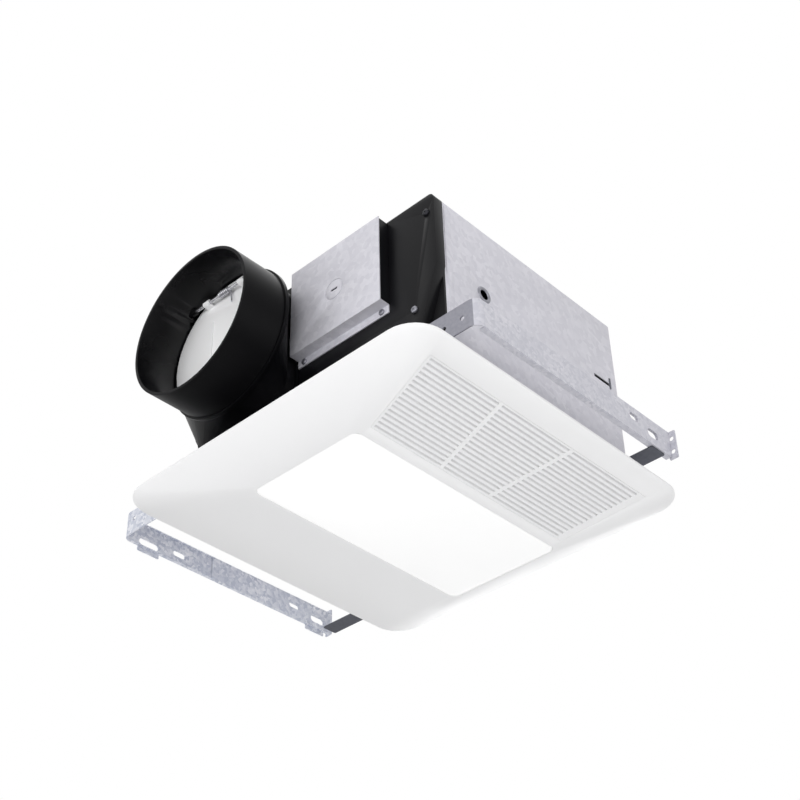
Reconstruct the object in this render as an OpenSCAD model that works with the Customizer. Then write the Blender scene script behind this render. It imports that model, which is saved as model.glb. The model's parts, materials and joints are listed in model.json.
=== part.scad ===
// Bathroom exhaust fan with a lit cover and speakers, in millimetres.
// The origin is the centre of the square cover in the plane of the ceiling.
// X runs away from the duct, Y runs away from the louvres, Z runs up.

/* [Cover] */
// Side of the square cover
cover_side = 370; // [350:1:390]
// Radius of the cover's four corners in plan
cover_corner_r = 31; // [18:1:45]
// Height of the cover's rim above the start of its slope
rim_h = 5; // [4:0.5:8]
// Rounding of the rim's lower edge
rim_round = 3; // [1:0.5:3.5]
// Depth from the ceiling to the face of the lens
cover_depth = 28; // [25:1:34]
// Wall of the moulded cover
cover_wall = 2.4; // [2:0.1:3]
// Thickness of the cover's inner ribs
locating_rib_t = 2; // [1.5:0.5:3]

/* [Lens] */
// Length of the lens along X
lens_x = 266; // [240:1:280]
// Width of the lens along Y
lens_y = 127; // [110:1:132]
// Place of the lens centre along Y
lens_centre_y = -3.5; // [-8:0.5:2]
// Corner radius of the lens
lens_corner_r = 8; // [4:1:14]
// Flat border of the cover around the lens
lens_border = 3; // [2:0.5:5]
// Width of the step behind the cover's edge
lens_lip = 3; // [2:0.5:4]
// Thickness of that step
lens_lip_t = 1.5; // [1:0.1:2.5]

/* [Louvres] */
// Number of slots across the vent
slot_count = 17; // [10:1:18]
// Distance from slot to slot
slot_pitch = 5.03; // [4.5:0.01:5.2]
// Width of each slot
slot_w = 2.5; // [1.2:0.1:3]
// Distance from the lens border to the vent's inner edge
vent_margin = 8.6; // [6:0.1:10]
// Length of the vent's inner edge
vent_inner_len = 254; // [220:1:262]
// Length of the vent's outer edge
vent_outer_len = 292; // [262:1:300]
// Width of the two ribs and of the frame
vent_rib = 4; // [3:0.5:6]
// Width of the flange behind the vent
vent_flange = 3; // [2:0.5:4]
// Thickness of that flange
vent_flange_t = 1.5; // [1:0.1:2]

/* [Housing] */
// Length of the steel housing along X
housing_x = 247; // [245:1:260]
// Width of the housing along Y
housing_y = 314; // [308:1:324]
// Height of the housing
housing_h = 187; // [186:1:200]
// Shift of the housing's centre along X
housing_shift = 9.5; // [5:0.5:12]
// Height of the housing's lower edge above the ceiling plane
housing_lift = 3; // [2:0.5:4]
// Thickness of the steel sheet
sheet = 1; // [0.7:0.1:1.5]
// Width of the return lips and tabs
return_lip = 10; // [8:1:14]
// Radius of the cable hole in the steel wall
cable_hole_r = 8; // [6:0.5:11]
// Place of the cable hole along X
cable_hole_x = -62; // [-80:1:-40]
// Height of the cable hole
cable_hole_z = 111; // [100:1:130]

/* [End wall] */
// Depth of the moulded end wall
mould_depth = 14; // [12:0.5:16]
// Wall of the moulding
mould_wall = 2.5; // [2:0.1:3]
// Overhang of the end wall past the housing's sides
mould_overhang = 3; // [1:0.5:4]
// Height below which the end wall's face draws in
mould_taper_z = 108; // [100:1:120]
// How far the face draws in at its lower edge
mould_taper = 35; // [20:1:36]
// Corner radius of the end wall
mould_corner_r = 6; // [3:1:10]

/* [Duct] */
// Outside radius of the duct collar
collar_r = 76; // [74:0.5:78]
// Wall of the collar and its adapter
collar_wall = 3; // [2:0.1:3.5]
// Length of the straight collar
collar_len = 50; // [46:1:60]
// Length of the change from the oblong base to the round collar
transition_len = 26; // [20:1:40]
// Length of the oblong base in front of the flange
base_len = 9; // [6:1:14]
// Height of the bead that stops the duct
bead_h = 2; // [1:0.5:3]
// Width of that bead
bead_w = 3; // [2:0.5:5]
// Place of the collar's axis along Y
duct_y = 62; // [58:1:66]
// Height of the collar's axis
duct_z = 121; // [118:1:124]
// Width of the oblong base along Y
base_w = 126; // [120:1:127]
// Height of the housing above the oblong base
base_top_gap = 5; // [4:1:12]
// Gap between the oblong base and the wiring box
base_gap = 3; // [3:0.5:5]
// Corner radius of the oblong base
base_r = 26; // [15:1:35]
// Flange around the base
base_flange = 7; // [5:1:8]
// Thickness of that flange
base_flange_t = 3; // [2:0.5:4]

/* [Damper] */
// Distance from the collar's mouth to the flap
flap_inset = 45; // [43:1:48]
// Thickness of the flap
flap_t = 1.6; // [1.2:0.1:2.5]
// Clearance of the flap in the collar
flap_gap = 3.5; // [3:0.1:5]
// Height of the hinge above the collar's axis
hinge_up = 57; // [54:1:59]
// Distance of the hinge in front of the flap
hinge_out = 6; // [5:0.5:8]
// Radius of the hinge pin
pin_r = 1.5; // [1.2:0.1:2]
// Running clearance of the hinge pin
pin_gap = 0.08; // [0.05:0.01:0.1]
// Width of the seat ring
seat_w = 6; // [4:0.5:8]
// Radius of the damper spring's wire
damper_wire_r = 0.8; // [0.5:0.1:0.9]

/* [Wiring box] */
// Width of the wiring box along Y
wiring_w = 113; // [100:1:116]
// Height of the wiring box
wiring_h = 96; // [85:1:97]
// How far the box stands proud of the end wall
wiring_proud = 11; // [8:0.5:14]
// Depth of the box behind the end wall's face
wiring_depth = 40; // [30:1:42]
// Wall of the box
wiring_wall = 2.5; // [2:0.1:3]
// Thickness of its steel cover
wiring_cover_t = 1.2; // [0.8:0.1:1.5]
// Length of the cover's foot on the end wall
wiring_foot = 8; // [6:0.5:10]
// Radius of the knock-out
knockout_r = 11.1; // [10:0.1:14]
// Height of the knock-out above the box's lower edge
knockout_up = 45; // [35:1:55]

/* [Blower] */
// Place of the wheel's axis along X
blower_x = 12; // [10:1:13]
// Place of the wheel's axis along Y
blower_y = -5; // [-8:1:-3]
// Height of the plate that carries the blower
plate_z = 60; // [58:1:62]
// Thickness of the plate
plate_t = 1.2; // [1:0.1:2]
// Gap between the scroll's top and the housing
scroll_top_gap = 13.3; // [8:0.1:16]
// Radius of the scroll at its tongue
scroll_r0 = 82; // [81:1:84]
// Radius of the scroll at its outlet
scroll_r1 = 128; // [122:1:130]
// Wall of the scroll
scroll_wall = 1.5; // [1:0.1:2]
// Angle of the tongue from the X axis
tongue_angle = 125; // [115:1:130]
// Outer radius of the wheel
wheel_r = 75; // [70:1:77]
// Inner radius of the blades
wheel_bore_r = 61; // [58:1:63]
// Gap between the wheel and the scroll's top
wheel_top_gap = 10; // [8:0.5:16]
// Height of the wheel above the plate
wheel_lift = 7; // [6:0.5:8]
// Thickness of the wheel's backplate and rim
wheel_plate_t = 2; // [1.5:0.1:2.5]
// Number of blades
blade_count = 36; // [24:1:44]
// Thickness of a blade
blade_t = 1; // [0.8:0.1:1.2]
// Throat radius of the inlet ring
throat_r = 56; // [52:1:57]
// Radius of the motor
motor_r = 40; // [34:1:44]
// Height of the motor
motor_h = 56; // [45:1:62]
// Radius of the motor shaft
shaft_r = 4; // [3:0.5:5]
// Radius of the inlet ring's bell
ring_bell = 12; // [10:0.5:14]
// Width of the inlet ring's flange
ring_flange = 9; // [8:0.5:12]
// Wall of the inlet ring
ring_t = 1.6; // [1.2:0.1:2]
// Thickness of the motor's spider
spider_t = 1.5; // [1.2:0.1:2]
// Length of the capacitor
capacitor_l = 38; // [30:1:42]
// Width of the capacitor
capacitor_w = 22; // [18:1:24]
// Height of the capacitor
capacitor_h = 32; // [26:1:38]
// Length of the blower's socket
socket_l = 26; // [20:1:30]
// Width of the blower's socket
socket_w = 18; // [14:1:20]
// Height of the blower's socket
socket_h = 12; // [10:1:14]

/* [Light] */
// Wall of the sheet tray
tray_t = 1.2; // [1:0.1:1.5]
// Thickness of the light board
board_t = 1.6; // [1:0.1:2]
// Length of the light's driver
driver_l = 120; // [90:1:140]
// Width of the light's driver
driver_w = 38; // [30:1:42]
// Height of the light's driver
driver_h = 22; // [18:1:26]

/* [Speakers] */
// Distance of each speaker from the middle along X
speaker_x = 82; // [80:1:84]
// Place of the speakers along Y
speaker_y = -115; // [-116:1:-113]
// Outside radius of the speaker frame
speaker_r = 27; // [25:1:27]
// Height of the speaker frame
speaker_h = 20; // [17:1:22]
// Radius of the magnet
magnet_r = 18; // [14:1:20]
// Thickness of the speakers' shelves
speaker_shelf_t = 1.6; // [1.2:0.1:2]
// Length of the receiver's case
receiver_l = 54; // [44:1:60]
// Width of the receiver's case
receiver_w = 44; // [36:1:48]
// Height of the receiver's case
receiver_h = 12; // [10:1:14]

/* [Cover springs] */
// Height of the spring tabs on the housing
tab_z = 8; // [7:0.5:10]
// Length of a spring leg
leg_len = 56; // [50:1:57]
// Lean of each leg from upright
leg_lean = 11; // [8:0.5:13]
// Radius of the spring wire
spring_wire_r = 0.9; // [0.7:0.1:1.1]
// Radius of the spring's turns
spring_coil_r = 4.5; // [4:0.5:5]

/* [Hanger rails] */
// Gap from the louvre side of the housing to the near rail's web
near_rail_gap = 38; // [36:1:52]
// Gap from the far side of the housing to the far rail's web
far_rail_gap = 89; // [75:1:95]
// Height of the rails above the ceiling plane
rail_z = 12; // [10:1:16]
// Height of a rail
rail_h = 30; // [26:1:34]
// Thickness of the rail steel
rail_t = 1.2; // [1:0.1:1.5]
// Width of the brackets that join the rails to the housing
rail_bracket_w = 20; // [16:1:24]
// Depth of the rail's lips
rail_lip = 6; // [5:0.5:8]
// Place of the near rail's end along X
near_rail_end = 140; // [137:1:150]
// Place of the far rail's end along X
far_rail_end = 150; // [145:1:156]
// Overlap of the slides in the rails
slide_overlap = 168; // [150:1:180]
// Width of the slides' joist flange
joist_flange = 11; // [10:0.5:20]
// Radius of the joist nail holes
nail_r = 2.4; // [2:0.1:3]
// Height of the brackets' upright ends
bracket_up = 18; // [14:1:22]
// Length of the far bracket's foot on the end of the housing
bracket_foot = 40; // [30:1:50]

/* [Screws] */
// Radius of the screws
screw_r = 1.5; // [1.2:0.1:1.8]
// Radius of the large pan heads
pan_r = 3.5; // [3:0.1:4]
// Height of the large pan heads
pan_h = 2.2; // [1.8:0.1:2.6]
// Radius of the small pan heads
small_pan_r = 3; // [2.6:0.1:3.2]
// Height of the small pan heads
small_pan_h = 1.8; // [1.4:0.1:2]

/* [Hidden] */
$fn = 64;

// Gap between pieces that meet without a fit
gap = 0.3;
// A cut runs this far past the face that it opens
over = 1;

housing_x0 = housing_shift - housing_x / 2;
housing_x1 = housing_shift + housing_x / 2;
housing_half = housing_y / 2;
housing_top = housing_lift + housing_h;
inner_x1 = housing_x1 - sheet;
inner_half = housing_half - sheet;
mould_x0 = housing_x0 - mould_depth;
mould_half = housing_half + mould_overhang;
flange_x = mould_x0 - base_flange_t;
base_x = flange_x - base_len;
transition_x = base_x - transition_len;
mouth_x = transition_x - collar_len;
collar_bore_r = collar_r - collar_wall;
base_h = housing_top - base_top_gap - duct_z + collar_r;
base_y = duct_y + collar_r - base_w / 2;
base_z = duct_z - collar_r + base_h / 2;
wiring_y = base_y - base_w / 2 - base_gap - wiring_w / 2;
flap_x = mouth_x + flap_inset;
flap_r = collar_bore_r - flap_gap;
hinge_x = flap_x - hinge_out;
hinge_z = duct_z + hinge_up;
damper_coil_r = pin_r + damper_wire_r + gap;
knuckle_len = 8;
hinge_half = sqrt(collar_bore_r * collar_bore_r - hinge_up * hinge_up);
wiring_z1 = housing_top - 2;
wiring_z0 = wiring_z1 - wiring_h;
wiring_x0 = mould_x0 - wiring_proud;
wiring_x1 = mould_x0 + wiring_depth;
plate_top = plate_z + plate_t;
ring_z = plate_z - ring_t;
scroll_h = housing_top - sheet - scroll_top_gap - scroll_wall - plate_top;
wheel_h = scroll_h - wheel_lift - wheel_top_gap;
wheel_z = plate_top + wheel_lift;
capacitor_at = [housing_x1 - capacitor_l - 12, -inner_half + return_lip + 4, plate_top];
socket_at = [wiring_x1 - socket_w - 2, wiring_y - socket_l - 2, plate_z - socket_h];
screw_hole_r = screw_r + 0.1;
clear_hole_r = screw_r + 0.2;
shaft_gap = 0.05;
bearing_len = 14;
spider_angles = [30, 150, 270];
lens_plane = -cover_depth;
cover_half = cover_side / 2;
plateau_x = lens_x + 2 * lens_border;
plateau_y = lens_y + 2 * lens_border;
plateau_in = lens_plane + cover_wall;
vent_y = lens_centre_y - plateau_y / 2;
vent_run = cover_half - rim_round + vent_y;
vent_rise = cover_depth - rim_h;
vent_tilt = atan2(vent_rise, vent_run);
vent_width = slot_pitch * (slot_count - 1) + slot_w + vent_rib;
vent_outer_y = vent_y - (vent_margin + vent_width) * cos(vent_tilt);
tray_z0 = plateau_in + lens_lip_t;
tray_z1 = -8;
speaker_base = tray_z1 + speaker_shelf_t;
tray_x = lens_x + 2 * lens_lip - 2;
tray_y = lens_y + 2 * lens_lip - 2;
tray_screws_at = [for (x = [-1, 1], y = [-1, 1]) [x * (lens_x / 2 + 9), lens_centre_y + y * 40]];
near_web = -housing_half - near_rail_gap;
far_web = housing_half + far_rail_gap;
rail_x0 = mould_x0 - rail_t;
rail_return = 4;
rail_inner = mould_half - mould_taper - 10;
near_bracket_x = near_rail_end - rail_bracket_w - 10;
far_bracket_x = far_rail_end - rail_bracket_w;
clip_t = 1.2;
spring_tab_t = 1.2;
spring_coil_z = tray_z1 + clip_t + spring_coil_r + spring_wire_r + gap;
spring_side_x = [inner_x1 - 10, housing_x0 + 10];
screw_edge = inner_half - return_lip / 2;
mould_screws_at = [
  [-screw_edge, housing_lift + 20],
  [screw_edge, housing_lift + 20],
  [-screw_edge, housing_top - 20],
  [screw_edge, housing_top - 20]
];
tab_x = [housing_x0 + 52, housing_x1 - 33];
face_screw = [-mould_half + 27, 68];

// Rounded rectangle as a list of points, centred on the origin
function round_rect(w, h, r, n = 8) = [
  for (q = [0:3])
    for (i = [0:n])
      let (a = 90 * (q + i / n))
      [(q == 0 || q == 3 ? 1 : -1) * (w / 2 - r) + r * cos(a),
       (q < 2 ? 1 : -1) * (h / 2 - r) + r * sin(a)]
];

// Flat plate with rounded corners, lying in XY with its underside at z = 0
module slab(w, h, r, t, n = 8) {
  linear_extrude(t) polygon(round_rect(w, h, r, n));
}

// Plate standing square to X, from x = 0 to x = t, centred on Y and Z
module upright_slab(w, h, r, t, n = 8) {
  rotate([90, 0, 90]) slab(w, h, r, t, n);
}

// Cylinder along X that starts at x = 0
module rod_x(r, h) {
  rotate([0, 90, 0]) cylinder(r = r, h = h);
}

// Cylinder along Y that starts at y = 0
module rod_y(r, h) {
  rotate([-90, 0, 0]) cylinder(r = r, h = h);
}

// Pan head screw along +X with its head's underside at x = 0
module screw_x(head_r, head_h, r, length) {
  translate([-head_h, 0, 0]) rod_x(head_r, head_h);
  rod_x(r, length);
}

// Pan head screw pointing up, with its head's top at z = 0
module screw_up(head_r, head_h, r, length) {
  translate([0, 0, -head_h]) cylinder(r = head_r, h = head_h);
  cylinder(r = r, h = length);
}

// Unbroken round tube along a list of points; side is a direction never along the path
module wire(points, r, side, faces = 6) {
  last = len(points) - 1;
  function unit(v) = v / norm(v);
  function along(i) = unit(points[min(i + 1, last)] - points[max(i - 1, 0)]);
  rings = [
    for (i = [0:last])
      let (n1 = unit(cross(along(i), side)), n2 = cross(along(i), n1))
      for (k = [0:faces - 1])
        points[i] + r * (cos(360 * k / faces) * n1 + sin(360 * k / faces) * n2)
  ];
  caps = [[for (k = [0:faces - 1]) k], [for (k = [faces - 1:-1:0]) last * faces + k]];
  walls = [
    for (i = [0:last - 1])
      for (k = [0:faces - 1])
        let (a = i * faces + k, b = i * faces + (k + 1) % faces)
        each [[a, a + faces, b], [b, a + faces, b + faces]]
  ];
  polyhedron(points = rings, faces = concat(caps, walls), convexity = 6);
}

// Steel box, open below and toward the duct
module housing() {
  fold_y0 = wiring_y + wiring_w / 2 + 2;
  side_slot = [24, 4];
  color("#bfbec8")
  difference() {
    union() {
      difference() {
        translate([housing_x0, -housing_half, housing_lift])
          cube([housing_x, housing_y, housing_h]);
        translate([housing_x0 - over, -inner_half, housing_lift - over])
          cube([housing_x - sheet + over, 2 * inner_half, housing_h - sheet + over]);
      }
      for (side = [-1, 1])
        housing_side_folds(side);
      translate([housing_x0, fold_y0, housing_top - return_lip / 2])
        cube([sheet, inner_half - fold_y0, return_lip / 2]);
    }
    translate([cable_hole_x, -housing_half - over, cable_hole_z])
      rod_y(cable_hole_r, sheet + 2 * over);
    translate([housing_x1 - side_slot[0] - 11, -housing_half - over,
               cable_hole_z - side_slot[1] / 2])
      cube([side_slot[0], sheet + 2 * over, side_slot[1]]);
    for (at = mould_screws_at)
      translate([housing_x0 - over, at[0], at[1]])
        rod_x(screw_hole_r, sheet + 2 * over);
  }
}

// Front return and the plate tabs on one side wall
module housing_side_folds(side) {
  depth = return_lip + sheet / 2;
  root = inner_half + sheet / 2;
  tab_w = 24;
  y0 = side > 0 ? root - depth : -root;
  translate([housing_x0, y0, housing_lift])
    cube([sheet, depth, housing_h - sheet / 2]);
  for (x = tab_x)
    difference() {
      translate([x - tab_w / 2, y0, plate_top])
        cube([tab_w, depth, sheet]);
      translate([x, side * screw_edge, plate_top - over])
        cylinder(r = screw_hole_r, h = sheet + 2 * over);
    }
}

// Outline of the end wall's proud face in Y and Z
function mould_outline(inset) =
  let (
    w = mould_half - inset,
    top = housing_top - inset,
    foot = w - mould_taper,
    r = max(mould_corner_r - inset, 1)
  )
  [
    [-foot, housing_lift + inset],
    [foot, housing_lift + inset],
    [w, mould_taper_z],
    for (i = [0:6]) [w - r + r * cos(15 * i), top - r + r * sin(15 * i)],
    for (i = [0:6]) [-w + r - r * sin(15 * i), top - r + r * cos(15 * i)],
    [-w, mould_taper_z]
  ];

module side_moulding() {
  face_boss_r = 4;
  color("#1d1d21")
  difference() {
    union() {
      translate([mould_x0, 0, 0])
        rotate([90, 0, 90])
          linear_extrude(mould_depth - mould_wall)
            difference() {
              polygon(mould_outline(0));
              polygon(mould_outline(mould_wall));
            }
      translate([mould_x0, 0, 0])
        rotate([90, 0, 90])
          linear_extrude(mould_wall)
            polygon(mould_outline(0));
      translate([housing_x0 - mould_wall, -housing_half, housing_lift])
        cube([mould_wall, housing_y, housing_h]);
      translate([mould_x0, base_y, base_z])
        upright_slab(base_w + 2, base_h + 2, base_r + 1, mould_depth);
      translate([mould_x0, face_screw[0], face_screw[1]])
        rod_x(face_boss_r, mould_depth);
      translate([mould_x0, wiring_y - wiring_w / 2 - 3, wiring_z0 - 3])
        cube([mould_depth, wiring_w + 6, housing_top - wiring_z0 + 1]);
    }
    translate([mould_x0 - over, base_y, base_z])
      upright_slab(base_w - 2 * collar_wall, base_h - 2 * collar_wall,
                   base_r - collar_wall, mould_depth + 2 * over);
    translate([mould_x0 - over, wiring_y - wiring_w / 2 - gap, wiring_z0 - gap])
      cube([mould_depth + 2 * over, wiring_w + 2 * gap, wiring_h + 2 * gap]);
    translate([mould_x0 - over, face_screw[0], face_screw[1]])
      rod_x(screw_hole_r, mould_depth + over - 2);
    for (at = mould_screws_at)
      translate([mould_x0 - over, at[0], at[1]])
        rod_x(screw_hole_r, mould_depth + 2 * over);
  }
}

// Screws of the end wall: two on its base, two on its face and one by the wiring box
module moulding_screws() {
  color("#d8d8dc") {
    for (i = [0, 1])
      translate([housing_x0 - mould_wall, mould_screws_at[i][0], mould_screws_at[i][1]])
        screw_x(pan_r, pan_h, screw_r, mould_wall + sheet + 4);
    for (i = [2, 3])
      translate([mould_x0, mould_screws_at[i][0], mould_screws_at[i][1]])
        screw_x(pan_r, pan_h, screw_r, mould_depth + sheet + 4);
    translate([mould_x0, face_screw[0], face_screw[1]])
      screw_x(pan_r, pan_h, screw_r, mould_depth - 4);
  }
}

// Outside or inside of the adapter from the collar to the end wall
module adapter_body(shrink, round_r, tail) {
  step = shrink + gap;
  hull() {
    translate([base_x, base_y, base_z])
      upright_slab(base_w - 2 * step, base_h - 2 * step, base_r - step, 0.2, 6);
    translate([transition_x - 1, duct_y, duct_z])
      rotate([0, 90, 0])
        cylinder(r = round_r, h = 1, $fn = 48);
  }
  translate([base_x - 0.1, base_y, base_z])
    upright_slab(base_w - 2 * shrink, base_h - 2 * shrink, base_r - shrink,
                 mould_x0 - base_x + 0.1 + tail, 8);
}

module duct_adapter() {
  color("#111114")
  difference() {
    union() {
      adapter_body(0, collar_r - 0.4, 0);
      translate([flange_x, base_y, base_z])
        adapter_flange();
      translate([mouth_x, duct_y, duct_z])
        rod_x(collar_r, collar_len);
      translate([transition_x - bead_w, duct_y, duct_z])
        rod_x(collar_r + bead_h, bead_w + 1);
      damper_bosses();
    }
    adapter_bore();
    translate([hinge_x, duct_y - hinge_half, hinge_z])
      rod_y(pin_r + pin_gap, 2 * hinge_half);
  }
}

// Flange of the base, cut straight beside the wiring box
module adapter_flange() {
  difference() {
    intersection() {
      upright_slab(base_w + 2 * base_flange, base_h + 5, base_r + 3, base_flange_t);
      translate([-over, wiring_y + wiring_w / 2 + gap - base_y, -base_h])
        cube([base_flange_t + 2 * over, base_w * 2, base_h * 2]);
    }
    for (z = [-1, 1])
      translate([-over, base_w / 2 + base_flange / 2, z * base_h / 4])
        rod_x(clear_hole_r, base_flange_t + 2 * over);
  }
}

// Hollow of the adapter, with the damper's seat and bosses left standing
module adapter_bore() {
  difference() {
    union() {
      adapter_body(collar_wall, collar_bore_r - 0.4, over);
      translate([mouth_x - over, duct_y, duct_z])
        rod_x(collar_bore_r, collar_len + over);
    }
    damper_seat();
    damper_bosses();
  }
}

// Ring that the closed flap rests on, left open where the flap's top swings in
module damper_seat() {
  translate([flap_x + flap_t / 2 + gap, duct_y, duct_z])
    intersection() {
      difference() {
        rod_x(collar_bore_r + collar_wall / 2, 2);
        translate([-over, 0, 0]) rod_x(collar_bore_r - seat_w, 2 + 2 * over);
      }
      translate([-over, -collar_r, -collar_r])
        cube([2 + 2 * over, 2 * collar_r, collar_r + hinge_up - 12]);
    }
}

// Two bosses that hold the ends of the hinge pin
module damper_bosses() {
  boss_r = pin_r + 1.9;
  boss_len = 9;
  intersection() {
    for (side = [-1, 1])
      translate([hinge_x, duct_y + side * (hinge_half - 2) - boss_len / 2, hinge_z])
        rod_y(boss_r, boss_len);
    translate([mouth_x, duct_y, duct_z])
      rod_x(collar_bore_r + collar_wall / 2, collar_len);
  }
}

module adapter_screws() {
  color("#b9b9bf")
  for (z = [-1, 1])
    translate([flange_x, base_y + base_w / 2 + base_flange / 2, base_z + z * base_h / 4])
      screw_x(small_pan_r, small_pan_h, screw_r, base_flange_t);
}

module damper_flap() {
  rib = [1.4, 2, 80];
  knuckle_y = 24;
  color("#dcdce0")
  difference() {
    union() {
      translate([flap_x - flap_t / 2, duct_y, duct_z])
        rod_x(flap_r, flap_t);
      for (y = [-knuckle_y, knuckle_y])
        translate([hinge_x, duct_y + y - knuckle_len / 2, hinge_z])
          flap_knuckle();
      for (y = [-20, 20])
        translate([flap_x - flap_t / 2 - rib[0] + 0.2, duct_y + y - rib[1] / 2, duct_z - 45])
          cube(rib);
    }
    translate([hinge_x, duct_y - hinge_half, hinge_z])
      rod_y(pin_r + pin_gap, 2 * hinge_half);
  }
}

// Knuckle of the flap around the pin, with its web to the flap
module flap_knuckle() {
  wall = 1.4;
  rod_y(pin_r + wall, knuckle_len);
  translate([0, 0, -pin_r - wall])
    cube([hinge_out, knuckle_len, 2]);
}

module damper_pin() {
  color("#c9c9cf")
  translate([hinge_x, duct_y - hinge_half + 0.5, hinge_z])
    rod_y(pin_r, 2 * hinge_half - 1);
}

// Torsion spring around the pin, wound along Y between the knuckles
module damper_spring() {
  turns = 6;
  steps = 12;
  pitch = 2 * damper_wire_r + 0.55;
  centre = [hinge_x, duct_y - turns * pitch / 2, hinge_z];
  coil = [
    for (i = [0:turns * steps])
      let (a = 360 * i / steps)
      centre + [damper_coil_r * cos(a), pitch * i / steps, damper_coil_r * sin(a)]
  ];
  low = coil[0] + [0, -pitch, -15];
  top = coil[len(coil) - 1] + [0, pitch, 9];
  echo("least gap between the damper spring's turns", pitch - 2 * damper_wire_r);
  color("#e6e6ea")
    wire(concat([low], coil, [top]), damper_wire_r, [0, 1, 0]);
}

module wiring_box() {
  color("#1a1a1d")
  difference() {
    translate([wiring_x0, wiring_y - wiring_w / 2, wiring_z0])
      cube([wiring_x1 - wiring_x0, wiring_w, wiring_h]);
    translate([wiring_x0 - over, wiring_y - wiring_w / 2 + wiring_wall, wiring_z0 + wiring_wall])
      cube([wiring_x1 - wiring_x0 - wiring_wall + over, wiring_w - 2 * wiring_wall,
            wiring_h - 2 * wiring_wall]);
  }
}

// Folded steel cover: face, underside and a foot on the end wall
module wiring_box_cover() {
  face_x = wiring_x0 - wiring_cover_t;
  y0 = wiring_y - wiring_w / 2;
  foot_x = mould_x0 - wiring_cover_t;
  low = wiring_z0 - wiring_cover_t - 0.1;
  bridge = [wiring_cover_t + 2 * over, 8, 2.4];
  color("#c3c1cb")
  difference() {
    union() {
      translate([face_x, y0, low])
        cube([wiring_cover_t, wiring_w, housing_top - low]);
      translate([face_x, y0, low])
        cube([foot_x + wiring_cover_t - face_x, wiring_w, wiring_cover_t]);
      translate([foot_x, y0, low - wiring_foot])
        cube([wiring_cover_t, wiring_w, wiring_foot + wiring_cover_t]);
    }
    translate([face_x - over, wiring_y, wiring_z0 + knockout_up])
      difference() {
        rod_x(knockout_r, over + wiring_cover_t / 2);
        translate([-over, 0, 0]) rod_x(knockout_r - 1, 2 * over + wiring_cover_t);
      }
    translate([face_x - over, wiring_y - bridge[1] / 2, wiring_z0 + knockout_up - bridge[2] / 2])
      cube(bridge);
    for (y = [-1, 1])
      translate([foot_x - over, wiring_y + y * (wiring_w / 2 - 8), low - wiring_foot / 2])
        rod_x(clear_hole_r, wiring_cover_t + 2 * over);
  }
}

module wiring_cover_screws() {
  color("#8f8f96")
  for (y = [-1, 1])
    translate([mould_x0 - wiring_cover_t, wiring_y + y * (wiring_w / 2 - 8),
               wiring_z0 - wiring_cover_t - 0.1 - wiring_foot / 2])
      screw_x(small_pan_r, small_pan_h, screw_r, wiring_cover_t);
}

// Four ways side by side, each with a wire opening above its clamp hole
module terminal_block() {
  size = [16, 40, 22];
  way = 9.5;
  opening = [9, 6.5, 7];
  color("#ece9df")
  translate([wiring_x1 - wiring_wall - size[0], wiring_y - size[1] / 2, wiring_z0 + 30])
    difference() {
      cube(size);
      for (i = [0:3])
        translate([-over, size[1] / 2 + way * (i - 1.5) - opening[1] / 2, 12])
          cube(opening);
      for (i = [0:3])
        translate([-over, size[1] / 2 + way * (i - 1.5), 5.5])
          rod_x(2, 7);
    }
}

module ground_screw() {
  head_r = 4.5;
  head_h = 2;
  slot = [over + 0.8, 2 * head_r + 1, 1.2];
  color("#3f9a57")
  translate([wiring_x1 - wiring_wall - head_h, wiring_y + wiring_w / 2 - 18, wiring_z0 + 20])
    difference() {
      rod_x(head_r, head_h);
      translate([-over, -slot[1] / 2, -slot[2] / 2]) cube(slot);
    }
}

// Level plate under the blower, screwed up to the housing's tabs
module motor_plate() {
  x0 = housing_x0 + sheet + gap;
  color("#b4b4bd")
  difference() {
    translate([x0, -inner_half + gap, plate_z])
      cube([inner_x1 - gap - x0, 2 * (inner_half - gap), plate_t]);
    translate([blower_x, blower_y, plate_z - over])
      cylinder(r = throat_r + ring_bell, h = plate_t + 2 * over);
    translate([blower_x, blower_y, 0])
      motor_screw_holes(plate_z);
    for (y = [-1, 1], x = tab_x)
      translate([x, y * screw_edge, plate_z - over])
        cylinder(r = clear_hole_r, h = plate_t + 2 * over);
  }
}

module plate_screws() {
  color("#8f8f96")
  for (y = [-1, 1], x = tab_x)
    translate([x, y * screw_edge, plate_z])
      screw_up(pan_r, pan_h, screw_r, plate_t + sheet + 3);
}

// Bell mouth: flange under the plate and a throat that reaches into the wheel
module inlet_ring() {
  bell_z = ring_z + ring_bell;
  bell_x = throat_r + ring_bell;
  color("#26262a")
  translate([blower_x, blower_y, 0])
    difference() {
      rotate_extrude()
        polygon([
          [bell_x + ring_flange, ring_z],
          for (a = [270:-10:180]) [bell_x + ring_bell * cos(a), bell_z + ring_bell * sin(a)],
          [throat_r, bell_z + 3],
          [throat_r + ring_t, bell_z + 3],
          for (a = [180:10:270])
            [bell_x + (ring_bell - ring_t) * cos(a), bell_z + (ring_bell - ring_t) * sin(a)],
          [bell_x + ring_flange, plate_z]
        ]);
      motor_screw_holes(ring_z);
    }
}

// Holes for the screws that hold the spider and the ring to the plate
module motor_screw_holes(z) {
  for (a = spider_angles)
    rotate(a)
      translate([throat_r + ring_bell + ring_flange / 2, 0, z - over])
        cylinder(r = screw_hole_r, h = ring_t + 2 * over);
}

// Radius of the scroll at an angle past the tongue
function scroll_r(a) = scroll_r0 + (scroll_r1 - scroll_r0) * (a - tongue_angle) / (450 - tongue_angle);

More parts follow.
